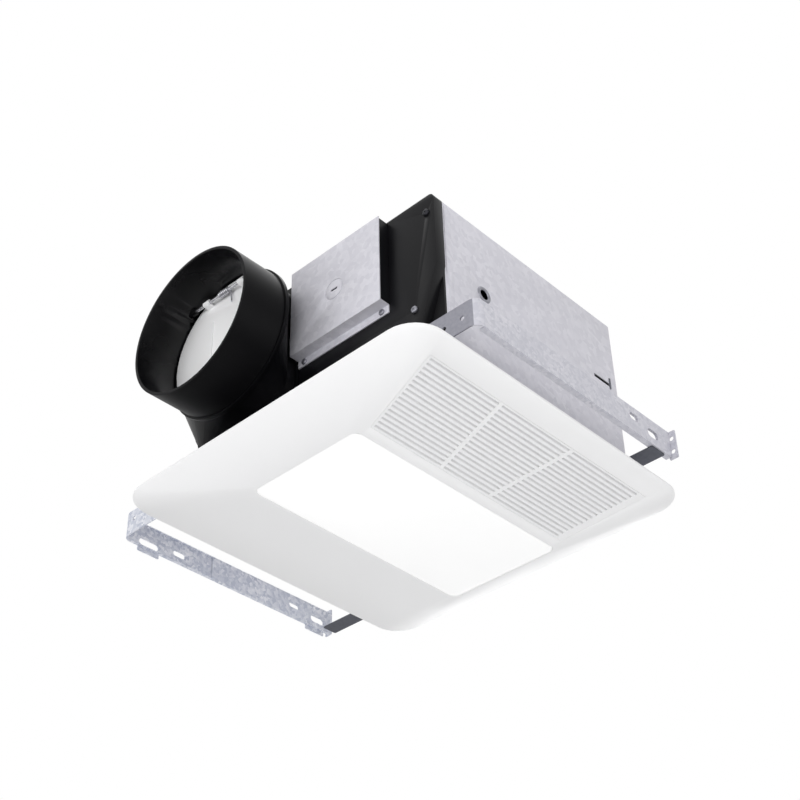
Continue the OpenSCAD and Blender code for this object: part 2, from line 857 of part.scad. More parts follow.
// Plan of the scroll and its outlet, drawn in by inset
function scroll_plan(inset) = [
  for (a = [tongue_angle:5:450])
    [blower_x + (scroll_r(a) - inset) * cos(a), blower_y + (scroll_r(a) - inset) * sin(a)],
  [housing_x0 + sheet + 0.5 - 4 * inset, blower_y + scroll_r1 - inset],
  [housing_x0 + sheet + 0.5 - 4 * inset, blower_y + scroll_r0 * sin(tongue_angle) - 8 + inset]
];

module blower_scroll() {
  color("#2a2a2e") {
    translate([0, 0, plate_top])
      linear_extrude(scroll_h + scroll_wall)
        difference() {
          polygon(scroll_plan(0));
          polygon(scroll_plan(scroll_wall));
        }
    translate([0, 0, plate_top + scroll_h])
      linear_extrude(scroll_wall)
        polygon(scroll_plan(0));
  }
}

// One forward-curved blade in plan
module blade_plan() {
  inner = wheel_bore_r + 0.8;
  chord = wheel_r - 1 - inner;
  steps = 5;
  arc = [for (i = [0:steps]) [inner + chord * i / steps, 5 * pow(i / steps, 2)]];
  polygon(concat(arc, [for (i = [steps:-1:0]) arc[i] + [0, blade_t]]));
}

// Backplate of the wheel with the hub that grips the shaft
module blower_wheel() {
  hub_z = plate_top + motor_h + 6;
  hub_r = shaft_r + 7;
  color("#e8e6df")
  translate([blower_x, blower_y, 0])
    difference() {
      union() {
        translate([0, 0, wheel_z + wheel_h - wheel_plate_t])
          cylinder(r = wheel_r, h = wheel_plate_t);
        translate([0, 0, hub_z])
          cylinder(r = hub_r, h = wheel_z + wheel_h - hub_z);
      }
      translate([0, 0, hub_z - over])
        cylinder(r = shaft_r + shaft_gap, h = wheel_z + wheel_h - hub_z + 2 * over);
    }
}

// Curved blades that stand between the rim and the backplate
module wheel_blades() {
  color("#e2e0d8")
  translate([blower_x, blower_y, wheel_z + wheel_plate_t])
    linear_extrude(wheel_h - 2 * wheel_plate_t)
      for (i = [0:blade_count - 1])
        rotate(360 * i / blade_count)
          blade_plan();
}

module wheel_rim() {
  color("#e8e6df")
  translate([blower_x, blower_y, wheel_z])
    difference() {
      cylinder(r = wheel_r, h = wheel_plate_t);
      translate([0, 0, -over])
        cylinder(r = wheel_bore_r, h = wheel_plate_t + 2 * over);
    }
}

module motor_shaft() {
  color("#c9c9cf")
  translate([blower_x, blower_y, plate_top + motor_h - bearing_len + 1])
    cylinder(r = shaft_r, h = wheel_lift + wheel_h - motor_h + bearing_len + 3);
}

module shaft_clip() {
  ring_clip_t = 1.2;
  color("#8f8f96")
  translate([blower_x, blower_y, wheel_z + wheel_h])
    difference() {
      cylinder(r = shaft_r + 3, h = ring_clip_t);
      translate([0, 0, -over])
        cylinder(r = shaft_r + shaft_gap, h = ring_clip_t + 2 * over);
      translate([0, -1, -over])
        cube([shaft_r + 4, 2, ring_clip_t + 2 * over]);
    }
}

// Motor can with its end bells, sitting in the wheel
module motor() {
  color("#9c9ca4")
  translate([blower_x, blower_y, plate_top])
    rotate_extrude()
      polygon([
        [0, 0],
        [motor_r - 12, 0],
        [motor_r - 3, 6],
        [motor_r - 3, 14],
        [motor_r, 14],
        [motor_r, motor_h - 16],
        [motor_r - 3, motor_h - 16],
        [motor_r - 3, motor_h - 8],
        [motor_r - 12, motor_h - 2],
        [12, motor_h - 2],
        [12, motor_h],
        [shaft_r + shaft_gap, motor_h],
        [shaft_r + shaft_gap, motor_h - bearing_len],
        [0, motor_h - bearing_len]
      ]);
}

// Three arms across the inlet that carry the motor
module motor_spider() {
  arm = throat_r + ring_bell + ring_flange;
  arm_w = 12;
  web_t = 1.5;
  web_h = 5;
  color("#b4b4bd")
  translate([blower_x, blower_y, ring_z - spider_t])
    difference() {
      union() {
        cylinder(r = motor_r - 14, h = spider_t);
        for (a = spider_angles)
          rotate(a) {
            translate([0, -arm_w / 2, 0]) cube([arm, arm_w, spider_t]);
            translate([arm_w, -web_t / 2, -web_h]) cube([arm - arm_w, web_t, web_h + 1]);
          }
      }
      for (a = spider_angles)
        rotate(a)
          translate([arm - ring_flange / 2, 0, 0]) {
            translate([0, 0, -over]) cylinder(r = clear_hole_r, h = spider_t + 2 * over);
            translate([0, 0, -web_h - over]) cylinder(r = small_pan_r + 1, h = web_h + over);
          }
    }
}

module rubber_mounts() {
  color("#1b1b1b")
  translate([blower_x, blower_y, ring_z])
    for (a = spider_angles)
      rotate(a)
        translate([18, 0, 0])
          cylinder(r = 5, h = plate_top - ring_z);
}

// Screws through the spider's arms, the ring's flange and the plate
module motor_screws() {
  color("#8f8f96")
  translate([blower_x, blower_y, ring_z - spider_t])
    for (a = spider_angles)
      rotate(a)
        translate([throat_r + ring_bell + ring_flange / 2, 0, 0])
          screw_up(small_pan_r, small_pan_h, screw_r, spider_t + ring_t + plate_t + 2);
}

module capacitor() {
  color("#e9e9ec")
  translate(capacitor_at)
    cube([capacitor_l, capacitor_w, capacitor_h]);
}

module capacitor_strap() {
  t = 1;
  w = 12;
  color("#b4b4bd")
  translate(capacitor_at + [(capacitor_l - w) / 2, 0, 0])
    difference() {
      union() {
        translate([0, -t, 0])
          cube([w, capacitor_w + 2 * t, capacitor_h + t]);
        cube([w, capacitor_w + 12, t]);
      }
      translate([-over, 0, -over])
        cube([w + 2 * over, capacitor_w, capacitor_h + over]);
    }
}

// Plug and socket that feed the blower, under the plate beside the wiring box
module blower_socket() {
  color("#dcdcd4")
  translate(socket_at)
    cube([socket_w, socket_l, socket_h]);
}

module blower_plug() {
  color("#1b1b1b")
  translate(socket_at + [2, 2, -socket_h - 2])
    cube([socket_w - 4, socket_l - 4, socket_h + 2]);
}

// Solid of the cover's outer form, drawn in by inset and lifted by the same amount
module cover_form(inset) {
  side = cover_side - 2 * inset;
  r = cover_corner_r - inset;
  hull() {
    translate([0, 0, -rim_h + rim_round + inset])
      slab(side, side, r, rim_h - rim_round - inset + (inset > 0 ? over : 0));
    translate([0, 0, -rim_h + inset])
      slab(side - 2 * rim_round, side - 2 * rim_round, r - rim_round, 0.1);
    translate([0, lens_centre_y, lens_plane + inset])
      slab(plateau_x, plateau_y, lens_corner_r + lens_border, 0.1);
  }
}

// Puts its children on the louvred face: X along it, Y up the slope, Z out of it
module on_vent_face() {
  translate([0, vent_y, lens_plane])
    rotate([180 - vent_tilt, 0, 0])
      children();
}

// Plan of the vent on its face, larger all round by grow
function vent_plan(grow) = [
  [-vent_inner_len / 2 - grow, vent_margin - grow],
  [vent_inner_len / 2 + grow, vent_margin - grow],
  [vent_outer_len / 2 + grow, vent_margin + vent_width + grow],
  [-vent_outer_len / 2 - grow, vent_margin + vent_width + grow]
];

module cover() {
  color("#f3f3f3")
  difference() {
    union() {
      difference() {
        cover_form(0);
        cover_form(cover_wall);
      }
      cover_ribs();
    }
    translate([0, lens_centre_y, lens_plane - over])
      slab(lens_x, lens_y, lens_corner_r, cover_wall + 2 * over);
    on_vent_face() {
      translate([0, 0, -cover_wall - over])
        linear_extrude(cover_wall + 2 * over)
          polygon(vent_plan(0.2));
      translate([0, 0, -cover_wall - vent_flange_t])
        linear_extrude(vent_flange_t)
          polygon(vent_plan(vent_flange + 0.2));
    }
  }
}

// Locating ribs under the housing's side walls and bosses for the tray
module cover_ribs() {
  intersection() {
    union() {
      for (x = [-70, 20])
        translate([x, housing_half - locating_rib_t, lens_plane])
          cube([50, locating_rib_t, cover_depth + housing_lift - gap]);
      for (x = [-90, 30])
        translate([x, vent_outer_y - vent_flange - 1 - locating_rib_t, lens_plane])
          cube([60, locating_rib_t, cover_depth - 1]);
      for (at = tray_screws_at)
        translate([at[0], at[1], lens_plane])
          difference() {
            cylinder(r = 3.5, h = cover_depth + tray_z1 - tray_t);
            translate([0, 0, cover_wall + 2]) cylinder(r = 1.3, h = cover_depth);
          }
    }
    union() {
      cover_form(0);
      translate([-cover_half, -cover_half, -0.5])
        cube([cover_side, cover_side, housing_lift + 1]);
    }
  }
}

module vent_grille() {
  color("#f0f0f0")
  on_vent_face()
    difference() {
      union() {
        translate([0, 0, -cover_wall])
          linear_extrude(cover_wall)
            polygon(vent_plan(0));
        translate([0, 0, -cover_wall - vent_flange_t])
          linear_extrude(vent_flange_t)
            polygon(vent_plan(vent_flange));
      }
      for (row = [0:slot_count - 1])
        vent_row(vent_margin + vent_rib / 2 + row * slot_pitch);
    }
}

// Three slots side by side at one height of the vent
module vent_row(v) {
  share = (v - vent_margin) / vent_width;
  half = (vent_inner_len + (vent_outer_len - vent_inner_len) * share) / 2 - vent_rib / 2;
  third = half / 3;
  for (panel = [-1:1])
    translate([panel * 2 * third - third + vent_rib / 2, v,
               -cover_wall - vent_flange_t - over])
      cube([2 * third - vent_rib, slot_w, cover_wall + vent_flange_t + 2 * over]);
}

module lens() {
  color("#ffffff") {
    translate([0, lens_centre_y, lens_plane])
      slab(lens_x - 0.4, lens_y - 0.4, lens_corner_r - 0.2, cover_wall + lens_lip_t);
    translate([0, lens_centre_y, plateau_in])
      slab(lens_x + 2 * lens_lip - 0.8, lens_y + 2 * lens_lip - 0.8,
           lens_corner_r + lens_lip - 0.4, lens_lip_t);
  }
}

// White sheet tray that stands on the lens and carries the board
module led_tray() {
  height = tray_z1 - tray_z0;
  color("#ededed")
  difference() {
    union() {
      translate([0, lens_centre_y, tray_z0])
        slab(tray_x, tray_y, lens_corner_r + 2, height);
      for (at = tray_screws_at)
        translate([at[0] - sign(at[0]) * 3, at[1], tray_z1 - tray_t])
          slab(14, 10, 2, tray_t);
    }
    translate([0, lens_centre_y, tray_z0 - over])
      slab(tray_x - 2 * tray_t, tray_y - 2 * tray_t, lens_corner_r, height - tray_t + over);
    for (at = tray_screws_at)
      translate([at[0], at[1], tray_z1 - tray_t - over])
        cylinder(r = screw_hole_r, h = tray_t + 2 * over);
  }
}

module led_board() {
  color("#fafafa")
  translate([0, lens_centre_y, tray_z1 - tray_t - board_t])
    slab(tray_x - 20, tray_y - 20, 3, board_t);
}

module led_chips() {
  columns = 10;
  rows = 4;
  chip = [3.5, 2.8, 0.8];
  run_x = tray_x - 40;
  run_y = tray_y - 40;
  color("#f4e9a8")
  for (i = [0:columns - 1], j = [0:rows - 1])
    translate([run_x * (i / (columns - 1) - 0.5) - chip[0] / 2,
               lens_centre_y + run_y * (j / (rows - 1) - 0.5) - chip[1] / 2,
               tray_z1 - tray_t - board_t - chip[2]])
      cube(chip);
}

module led_driver() {
  color("#e2e2e6")
  translate([tray_x / 2 - driver_l - 50, lens_centre_y + 10, tray_z1])
    cube([driver_l, driver_w, driver_h]);
}

module tray_screws() {
  color("#b9b9bf")
  for (at = tray_screws_at)
    translate([at[0], at[1], tray_z1])
      rotate([180, 0, 0])
        screw_up(small_pan_r, small_pan_h, 1.2, 6);
}

// Shelf from the tray out to each speaker
module speaker_brackets() {
  y1 = lens_centre_y - tray_y / 2 + 14;
  y0 = speaker_y - speaker_r - 2;
  color("#ededed")
  for (x = [-speaker_x, speaker_x])
    difference() {
      translate([x - speaker_r - 1, y0, tray_z1])
        cube([2 * speaker_r + 2, y1 - y0, speaker_shelf_t]);
      translate([x, speaker_y, tray_z1 - over])
        cylinder(r = speaker_r - 4, h = speaker_shelf_t + 2 * over);
    }
}

// Basket: square flange on the shelf, windowed cone and the seat of the magnet
module speaker_frames() {
  color("#2c2c30")
  for (x = [-speaker_x, speaker_x])
    translate([x, speaker_y, speaker_base])
      difference() {
        union() {
          rotate_extrude()
            polygon([
              [speaker_r - 5.5, 0],
              [speaker_r - 1, 0],
              [speaker_r - 2, 1.5],
              [magnet_r - 2, speaker_h - 4],
              [magnet_r - 2, speaker_h],
              [9, speaker_h],
              [9, speaker_h - 1.5],
              [magnet_r - 3.6, speaker_h - 1.5],
              [magnet_r - 3.6, speaker_h - 4.5],
              [speaker_r - 4, 2],
              [speaker_r - 4, 1],
              [speaker_r - 5.5, 1]
            ]);
          difference() {
            slab(2 * speaker_r, 2 * speaker_r, 5, 1.5);
            translate([0, 0, -over]) cylinder(r = speaker_r - 3, h = 1.5 + 2 * over);
          }
        }
        for (a = [0:60:300])
          rotate(a)
            translate([magnet_r, -5, 5])
              cube([speaker_r, 10, speaker_h - 11]);
      }
}

// Rubber roll under the frame's inner ledge, around the cone
module speaker_surrounds() {
  roll = speaker_r - 6.5;
  color("#18181a")
  for (x = [-speaker_x, speaker_x])
    translate([x, speaker_y, speaker_base])
      rotate_extrude()
        polygon([
          for (a = [180:30:360]) [roll + 2.2 * cos(a), 2.2 * sin(a)],
          for (a = [360:-30:180]) [roll + 1.5 * cos(a), 1.5 * sin(a)]
        ]);
}

module speaker_magnets() {
  color("#55555c")
  for (x = [-speaker_x, speaker_x])
    translate([x, speaker_y, speaker_base + speaker_h])
      difference() {
        union() {
          cylinder(r = magnet_r, h = 8);
          translate([0, 0, 8]) cylinder(r = magnet_r - 1, h = 2);
        }
        translate([0, 0, -over]) cylinder(r = 9, h = 6 + over);
      }
}

// Pan heads on the flange's four corners
module speaker_screws() {
  color("#b9b9bf")
  for (x = [-speaker_x, speaker_x], a = [45:90:315])
    translate([x, speaker_y, speaker_base + 1.5])
      rotate(a)
        translate([speaker_r * 1.2, 0, 0])
          cylinder(r = 1.6, h = 1);
}

// Paper cone with its voice coil former, at one place along X
module speaker_cone(x) {
  rim = speaker_r - 9;
  color("#39393e")
  translate([x, speaker_y, speaker_base])
    rotate_extrude()
      polygon([
        [0, speaker_h - 13.6],
        [5, speaker_h - 12.6],
        [rim, 0.4],
        [rim, 1.2],
        [7.6, speaker_h - 11],
        [7.6, speaker_h + 1],
        [7, speaker_h + 1],
        [7, speaker_h - 11.4],
        [0, speaker_h - 12.6]
      ]);
}

module left_speaker_cone() {
  speaker_cone(-speaker_x);
}

module right_speaker_cone() {
  speaker_cone(speaker_x);
}

// Receiver and amplifier in one moulded case on the tray
module speaker_board() {
  color("#3a3a40")
  translate([-tray_x / 2 + 43, lens_centre_y - 6, tray_z1])
    union() {
      cube([receiver_w, receiver_l, receiver_h]);
      translate([6, 6, receiver_h])
        cube([receiver_w - 12, receiver_l - 12, 3]);
    }
}

// Spring held by its turns, with two long legs that lean apart
module torsion_springs() {
  turns = 3.5;
  steps = 12;
  pitch = 2 * spring_wire_r + 0.5;
  lean = [0, sin(leg_lean), cos(leg_lean)];
  echo("least gap between the cover springs' turns", pitch - 2 * spring_wire_r);
  color("#d0d0d6")
  for (x = spring_side_x) {
    centre = [x - turns * pitch / 2, lens_centre_y, spring_coil_z];
    coil = [
      for (i = [0:turns * steps])
        let (a = -360 * i / steps)
        centre + [pitch * i / steps, spring_coil_r * cos(a), spring_coil_r * sin(a)]
    ];
    far = [lean[0], -lean[1], lean[2]];
    first = coil[0] + leg_len * lean;
    final = coil[len(coil) - 1] + leg_len * far;
    wire(concat([first + [0, 4, 1.5], first], coil, [final, final + [0, -4, 1.5]]),
         spring_wire_r, [1, 0, 0]);
  }
}

// Clip on the tray: a base, two ears and the pin through the turns
module spring_clips() {
  ear = 5.6;
  t = clip_t;
  color("#b4b4bd")
  for (x = spring_side_x)
    translate([x, lens_centre_y, tray_z1]) {
      translate([-ear - t, -5, 0]) cube([2 * (ear + t), 10, t]);
      for (x1 = [-ear - t, ear])
        translate([x1, -5, 0])
          cube([t, 10, spring_coil_z - tray_z1 + 4]);
      translate([-ear - t / 2, 0, spring_coil_z - tray_z1])
        rod_x(spring_coil_r - spring_wire_r - gap, 2 * ear + t);
    }
}

// Slotted tabs that the spring legs hang in
module spring_brackets() {
  reach = 20;
  width = 52;
  slot = [12, 42];
  t = spring_tab_t;
  color("#b4b4bd")
  for (end = [0, 1]) {
    side = end == 0 ? -1 : 1;
    wall = end == 0 ? inner_x1 : housing_x0;
    difference() {
      translate([min(wall, wall + side * reach), lens_centre_y - width / 2, tab_z])
        cube([reach, width, t]);
      translate([spring_side_x[end] - slot[0] / 2, lens_centre_y - slot[1] / 2, tab_z - over])
        cube([slot[0], slot[1], t + 2 * over]);
    }
    translate([min(wall, wall + side * t), lens_centre_y - width / 2, tab_z])
      cube([t, width, 14]);
  }
}

// Cutters for the slots and the middle hole of the rail that ends at x1
module rail_slots(web, x1) {
  translate([0, web - 10, 0])
    rotate([-90, 0, 0])
      linear_extrude(20) {
        for (x = [rail_x0 + 18, x1 - 24])
          translate([x, -rail_z]) polygon(round_rect(18, 6, 2.9));
        for (x = [rail_x0 + 46, x1 - 50])
          translate([x, -rail_z - 9]) polygon(round_rect(13, 5, 2.4));
        translate([(rail_x0 + x1) / 2, -rail_z - rail_h / 2]) circle(r = 3.2);
      }
}

// Channel of a rail: web, outward lips, ears and the inward flange on the end wall
module fixed_rail(web, out, x1) {
  length = x1 - rail_x0;
  face = min(web, web + out * rail_t);
  lip_face = min(web, web + out * rail_lip);
  back = web + out * rail_t;
  inner = out * rail_inner;
  color("#aeb2bf")
  difference() {
    union() {
      translate([rail_x0, face, rail_z])
        cube([length, rail_t, rail_h]);
      for (z = [rail_z, rail_z + rail_h - rail_t])
        translate([rail_x0, lip_face, z])
          cube([length, rail_lip, rail_t]);
      for (z = [rail_z, rail_z + rail_h - rail_return])
        translate([rail_x0, out > 0 ? web + rail_lip - rail_t : web - rail_lip, z])
          cube([length, rail_t, rail_return]);
      for (x = [rail_x0 + 18, x1 - 24])
        translate([x - 13, face, rail_z - 7])
          cube([26, rail_t, 8]);
      translate([rail_x0, min(back, inner), rail_z])
        cube([rail_t, abs(back - inner), rail_h]);
    }
    rail_slots(web, x1);
    for (s = [10, 30])
      translate([rail_x0 - over, web - out * s, rail_z + rail_h / 2])
        rod_x(nail_r, rail_t + 2 * over);
    translate([rail_x0 - over, inner + out * 6, rail_z + rail_h / 2])
      rod_x(clear_hole_r, rail_t + 2 * over);
  }
}

// Sliding half of a rail: strip in the channel and the outward joist flange
module slide_rail(web, out, x1) {
  strip = web + out * (rail_t + gap);
  face = min(strip, strip + out * rail_t);
  flange_x = x1 + gap;
  color("#b6bac6")
  difference() {
    union() {
      translate([x1 - slide_overlap, face, rail_z + rail_t + gap])
        cube([slide_overlap + gap + rail_t, rail_t, rail_h - 2 * rail_t - 2 * gap]);
      translate([flange_x, min(strip, strip + out * joist_flange), rail_z])
        cube([rail_t, joist_flange, rail_h]);
    }
    rail_slots(web, x1);
    for (z = [-7, 7])
      translate([flange_x - over, strip + out * (joist_flange / 2 + 1), rail_z + rail_h / 2 + z])
        rod_x(nail_r, rail_t + 2 * over);
  }
}

module near_rail() {
  fixed_rail(near_web, -1, near_rail_end);
}

module far_rail() {
  fixed_rail(far_web, 1, far_rail_end);
}

module near_slide() {
  slide_rail(near_web, -1, near_rail_end);
}

module far_slide() {
  slide_rail(far_web, 1, far_rail_end);
}

// Level brackets from the housing out to the rails, with upright ends
module rail_brackets() {
  color("#6d6f78") {
    translate([near_bracket_x, near_web, rail_z])
      cube([rail_bracket_w, near_rail_gap, rail_t]);
    for (y = [near_web, -housing_half - rail_t])
      translate([near_bracket_x, y, rail_z])
        cube([rail_bracket_w, rail_t, bracket_up]);
    far_bracket();
  }
}

// The far bracket turns round the housing's corner to its end wall
module far_bracket() {
  x1 = far_bracket_x + rail_bracket_w;
  x0 = min(far_bracket_x, housing_x1 - 1);
  foot_y = housing_half - bracket_foot - 10;
  translate([0, 0, rail_z])
    linear_extrude(rail_t)
      polygon([
        [housing_x1, foot_y],
        [x1, foot_y],
        [x1, far_web],
        [x0, far_web],
        [x0, housing_half + gap],
        [housing_x1, housing_half + gap]
      ]);
  translate([housing_x1, foot_y, rail_z])
    cube([rail_t, bracket_foot, bracket_up + 4]);
  translate([far_bracket_x, far_web - rail_t, rail_z])
    cube([rail_bracket_w, rail_t, bracket_up]);
}

// Screws of the rails' flanges and of their brackets
module rail_screws() {
  mid_z = rail_z + rail_h / 2;
  color("#8f8f96") {
    for (side = [-1, 1])
      translate([rail_x0, side * (rail_inner + 6), mid_z])
        screw_x(small_pan_r, small_pan_h, screw_r, rail_t);
    for (share = [0.25, 0.75])
      translate([housing_x1 + rail_t, housing_half - 10 - share * bracket_foot, rail_z + 14])
        rod_x(small_pan_r, small_pan_h);
    for (share = [0.25, 0.75])
      translate([near_bracket_x + share * rail_bracket_w,
                 -housing_half - rail_t - small_pan_h, rail_z + 12])
        rod_y(2.6, small_pan_h);
  }
}

housing();
side_moulding();
moulding_screws();
duct_adapter();
adapter_screws();
damper_flap();
damper_pin();
damper_spring();
wiring_box();
wiring_box_cover();
wiring_cover_screws();
terminal_block();
ground_screw();
motor_plate();
plate_screws();
inlet_ring();
blower_scroll();
blower_wheel();
wheel_blades();
wheel_rim();
motor_shaft();
shaft_clip();
motor();
motor_spider();
rubber_mounts();
motor_screws();
capacitor();
capacitor_strap();
blower_plug();
blower_socket();
cover();
vent_grille();
lens();
led_tray();
led_board();
led_chips();
led_driver();
tray_screws();
speaker_brackets();
speaker_frames();
speaker_surrounds();
speaker_magnets();
speaker_screws();
left_speaker_cone();
right_speaker_cone();
speaker_board();
torsion_springs();
spring_clips();
spring_brackets();
near_rail();
far_rail();
near_slide();
far_slide();
rail_brackets();
rail_screws();
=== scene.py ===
import json
import math

import bmesh
import bpy
from mathutils import Matrix, Vector


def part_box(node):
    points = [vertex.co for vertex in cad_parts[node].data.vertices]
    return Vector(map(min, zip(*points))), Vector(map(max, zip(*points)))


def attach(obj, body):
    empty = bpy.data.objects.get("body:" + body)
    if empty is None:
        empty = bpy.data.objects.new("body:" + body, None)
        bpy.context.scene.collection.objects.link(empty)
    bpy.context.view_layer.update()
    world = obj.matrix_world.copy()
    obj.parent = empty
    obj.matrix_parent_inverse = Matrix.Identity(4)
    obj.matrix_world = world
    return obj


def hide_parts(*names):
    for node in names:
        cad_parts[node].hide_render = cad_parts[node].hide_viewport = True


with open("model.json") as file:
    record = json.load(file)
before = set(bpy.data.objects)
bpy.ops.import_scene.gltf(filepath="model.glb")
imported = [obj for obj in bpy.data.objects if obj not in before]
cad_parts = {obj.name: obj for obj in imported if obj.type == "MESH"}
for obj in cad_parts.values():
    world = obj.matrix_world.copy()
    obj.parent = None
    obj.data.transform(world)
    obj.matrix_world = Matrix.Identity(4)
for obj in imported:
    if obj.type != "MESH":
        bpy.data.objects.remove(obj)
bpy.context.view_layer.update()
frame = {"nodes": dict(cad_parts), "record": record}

nodes = frame["nodes"]
scene = bpy.context.scene

# Every size below is in millimetres until finish_piece puts it in metres
MM = 0.001


def place_camera():
    """The camera stands below the fan on its duct side and looks up at the cover."""
    cover_side = 370 * MM
    yaw, pitch, roll = 0.737561728, 0.648523675, -0.0292740467
    distance = 3.74558091 * cover_side
    shift_right, shift_up = 0.0135383751 * cover_side, -0.241500057 * cover_side
    ahead = Vector((math.cos(pitch) * math.cos(yaw), math.cos(pitch) * math.sin(yaw),
                    math.sin(pitch)))
    level = Vector((math.sin(yaw), -math.cos(yaw), 0))
    upright = level.cross(ahead)
    right = math.cos(roll) * level + math.sin(roll) * upright
    up = -math.sin(roll) * level + math.cos(roll) * upright
    camera = bpy.data.objects.new("camera", bpy.data.cameras.new("camera"))
    scene.collection.objects.link(camera)
    sensor_width, focal_pixels, picture_pixels = 36, 1508.37, 800
    camera.data.sensor_width = sensor_width
    camera.data.lens = sensor_width * focal_pixels / picture_pixels
    camera.data.clip_start, camera.data.clip_end = 0.01, 100
    turn = Matrix((right, up, -ahead)).transposed().to_4x4()
    stand = -ahead * distance - right * shift_right - up * shift_up
    camera.matrix_world = Matrix.Translation(stand) @ turn
    scene.camera = camera


def linear(code):
    """An sRGB hex colour as the linear values that shaders take."""
    parts = [int(code[i:i + 2], 16) / 255 for i in (1, 3, 5)]
    return [p / 12.92 if p <= 0.04045 else ((p + 0.055) / 1.055) ** 2.4 for p in parts] + [1.0]


def per_mm(size):
    """How many grains of this size in millimetres a metre holds."""
    return 1000 / size


def add(tree, kind, settings, links=None):
    """Adds one node, with its properties or socket values and its links."""
    node = tree.nodes.new(kind)
    for name, value in settings.items():
        if isinstance(name, str) and hasattr(node, name):
            setattr(node, name, value)
        else:
            node.inputs[name].default_value = value
    for socket, source in (links or {}).items():
        tree.links.new(source, node.inputs[socket])
    return node


def start_finish(name, **sockets):
    """An empty material with its shader; the sockets are the shader's constant values."""
    finish = bpy.data.materials.new(name)
    finish.use_nodes = True
    tree = finish.node_tree
    tree.nodes.clear()
    values = {key.replace("_", " "): value for key, value in sockets.items()}
    shader = add(tree, "ShaderNodeBsdfPrincipled", values)
    add(tree, "ShaderNodeOutputMaterial", {}, {"Surface": shader.outputs[0]})
    place = add(tree, "ShaderNodeTexCoord", {}).outputs["Object"]
    return finish, tree, shader, place


def galvanised_sheet(name, pale, dark, crystal, metallic=0.25):
    """Hot-dip galvanised steel: grey zinc crystals with soft borders, faint rolling lines."""
    finish, tree, shader, place = start_finish(name, Metallic=metallic)
    warp = add(tree, "ShaderNodeTexNoise", {"Scale": per_mm(crystal * 1.5), "Detail": 2.0},
               {"Vector": place})
    bent = add(tree, "ShaderNodeMix", {"data_type": "VECTOR", 0: 0.0025},
               {4: place, 5: warp.outputs["Color"]})
    crystals = add(tree, "ShaderNodeTexVoronoi", {"Scale": per_mm(crystal)},
                   {"Vector": bent.outputs[1]})
    shade = add(tree, "ShaderNodeSeparateColor", {}, {0: crystals.outputs["Color"]})
    cloud = add(tree, "ShaderNodeTexNoise", {"Scale": per_mm(28), "Detail": 5.0,
                                             "Roughness": 0.6}, {"Vector": place})
    blend = add(tree, "ShaderNodeMath", {"operation": "MULTIPLY"},
                {0: shade.outputs[0], 1: cloud.outputs[0]})
    level = add(tree, "ShaderNodeMapRange", {"From Min": 0.05, "From Max": 0.6},
                {"Value": blend.outputs[0]})
    colour = add(tree, "ShaderNodeMix", {"data_type": "RGBA", 6: linear(dark), 7: linear(pale)},
                 {0: level.outputs[0]})
    tree.links.new(colour.outputs[2], shader.inputs["Base Color"])
    gloss = add(tree, "ShaderNodeMapRange", {"To Min": 0.45, "To Max": 0.6},
                {"Value": shade.outputs[1]})
    tree.links.new(gloss.outputs[0], shader.inputs["Roughness"])
    # Rolling lines are 0.3 mm apart on the real sheet and are drawn 0.8 mm apart to show
    stretched = add(tree, "ShaderNodeMapping", {"Scale": (0.03, 1.0, 1.0)}, {"Vector": place})
    lines = add(tree, "ShaderNodeTexNoise", {"Scale": per_mm(0.8), "Detail": 2.0},
                {"Vector": stretched.outputs[0]})
    bump = add(tree, "ShaderNodeBump", {"Strength": 0.12, "Distance": 0.00005},
               {"Height": lines.outputs[0]})
    tree.links.new(bump.outputs[0], shader.inputs["Normal"])
    return finish


def moulded_plastic(name, body, worn, roughness=(0.35, 0.5), grain=0.9, depth=0.04, ior=1.53,
                    **sockets):
    """Injection-moulded plastic: one colour, fine eroded grain, rubbed a little on its edges."""
    finish, tree, shader, place = start_finish(name, IOR=ior, **sockets)
    cloud = add(tree, "ShaderNodeTexNoise", {"Scale": per_mm(60), "Detail": 4.0},
                {"Vector": place})
    corner = add(tree, "ShaderNodeNewGeometry", {}).outputs["Pointiness"]
    rubbed = add(tree, "ShaderNodeMapRange", {"From Min": 0.51, "From Max": 0.6, "To Max": 0.35},
                 {"Value": corner})
    patchy = add(tree, "ShaderNodeMath", {"operation": "MULTIPLY"},
                 {0: rubbed.outputs[0], 1: cloud.outputs[0]})
    colour = add(tree, "ShaderNodeMix", {"data_type": "RGBA", 6: linear(body), 7: linear(worn)},
                 {0: patchy.outputs[0]})
    tree.links.new(colour.outputs[2], shader.inputs["Base Color"])
    gloss = add(tree, "ShaderNodeMapRange", {"From Min": 0.3, "From Max": 0.7,
                                             "To Min": roughness[0], "To Max": roughness[1]},
                {"Value": cloud.outputs[0]})
    tree.links.new(gloss.outputs[0], shader.inputs["Roughness"])
    grains = add(tree, "ShaderNodeTexNoise", {"Scale": per_mm(grain), "Detail": 3.0},
                 {"Vector": place})
    bump = add(tree, "ShaderNodeBump", {"Strength": depth, "Distance": 0.0002},
               {"Height": grains.outputs[0]})
    tree.links.new(bump.outputs[0], shader.inputs["Normal"])
    return finish


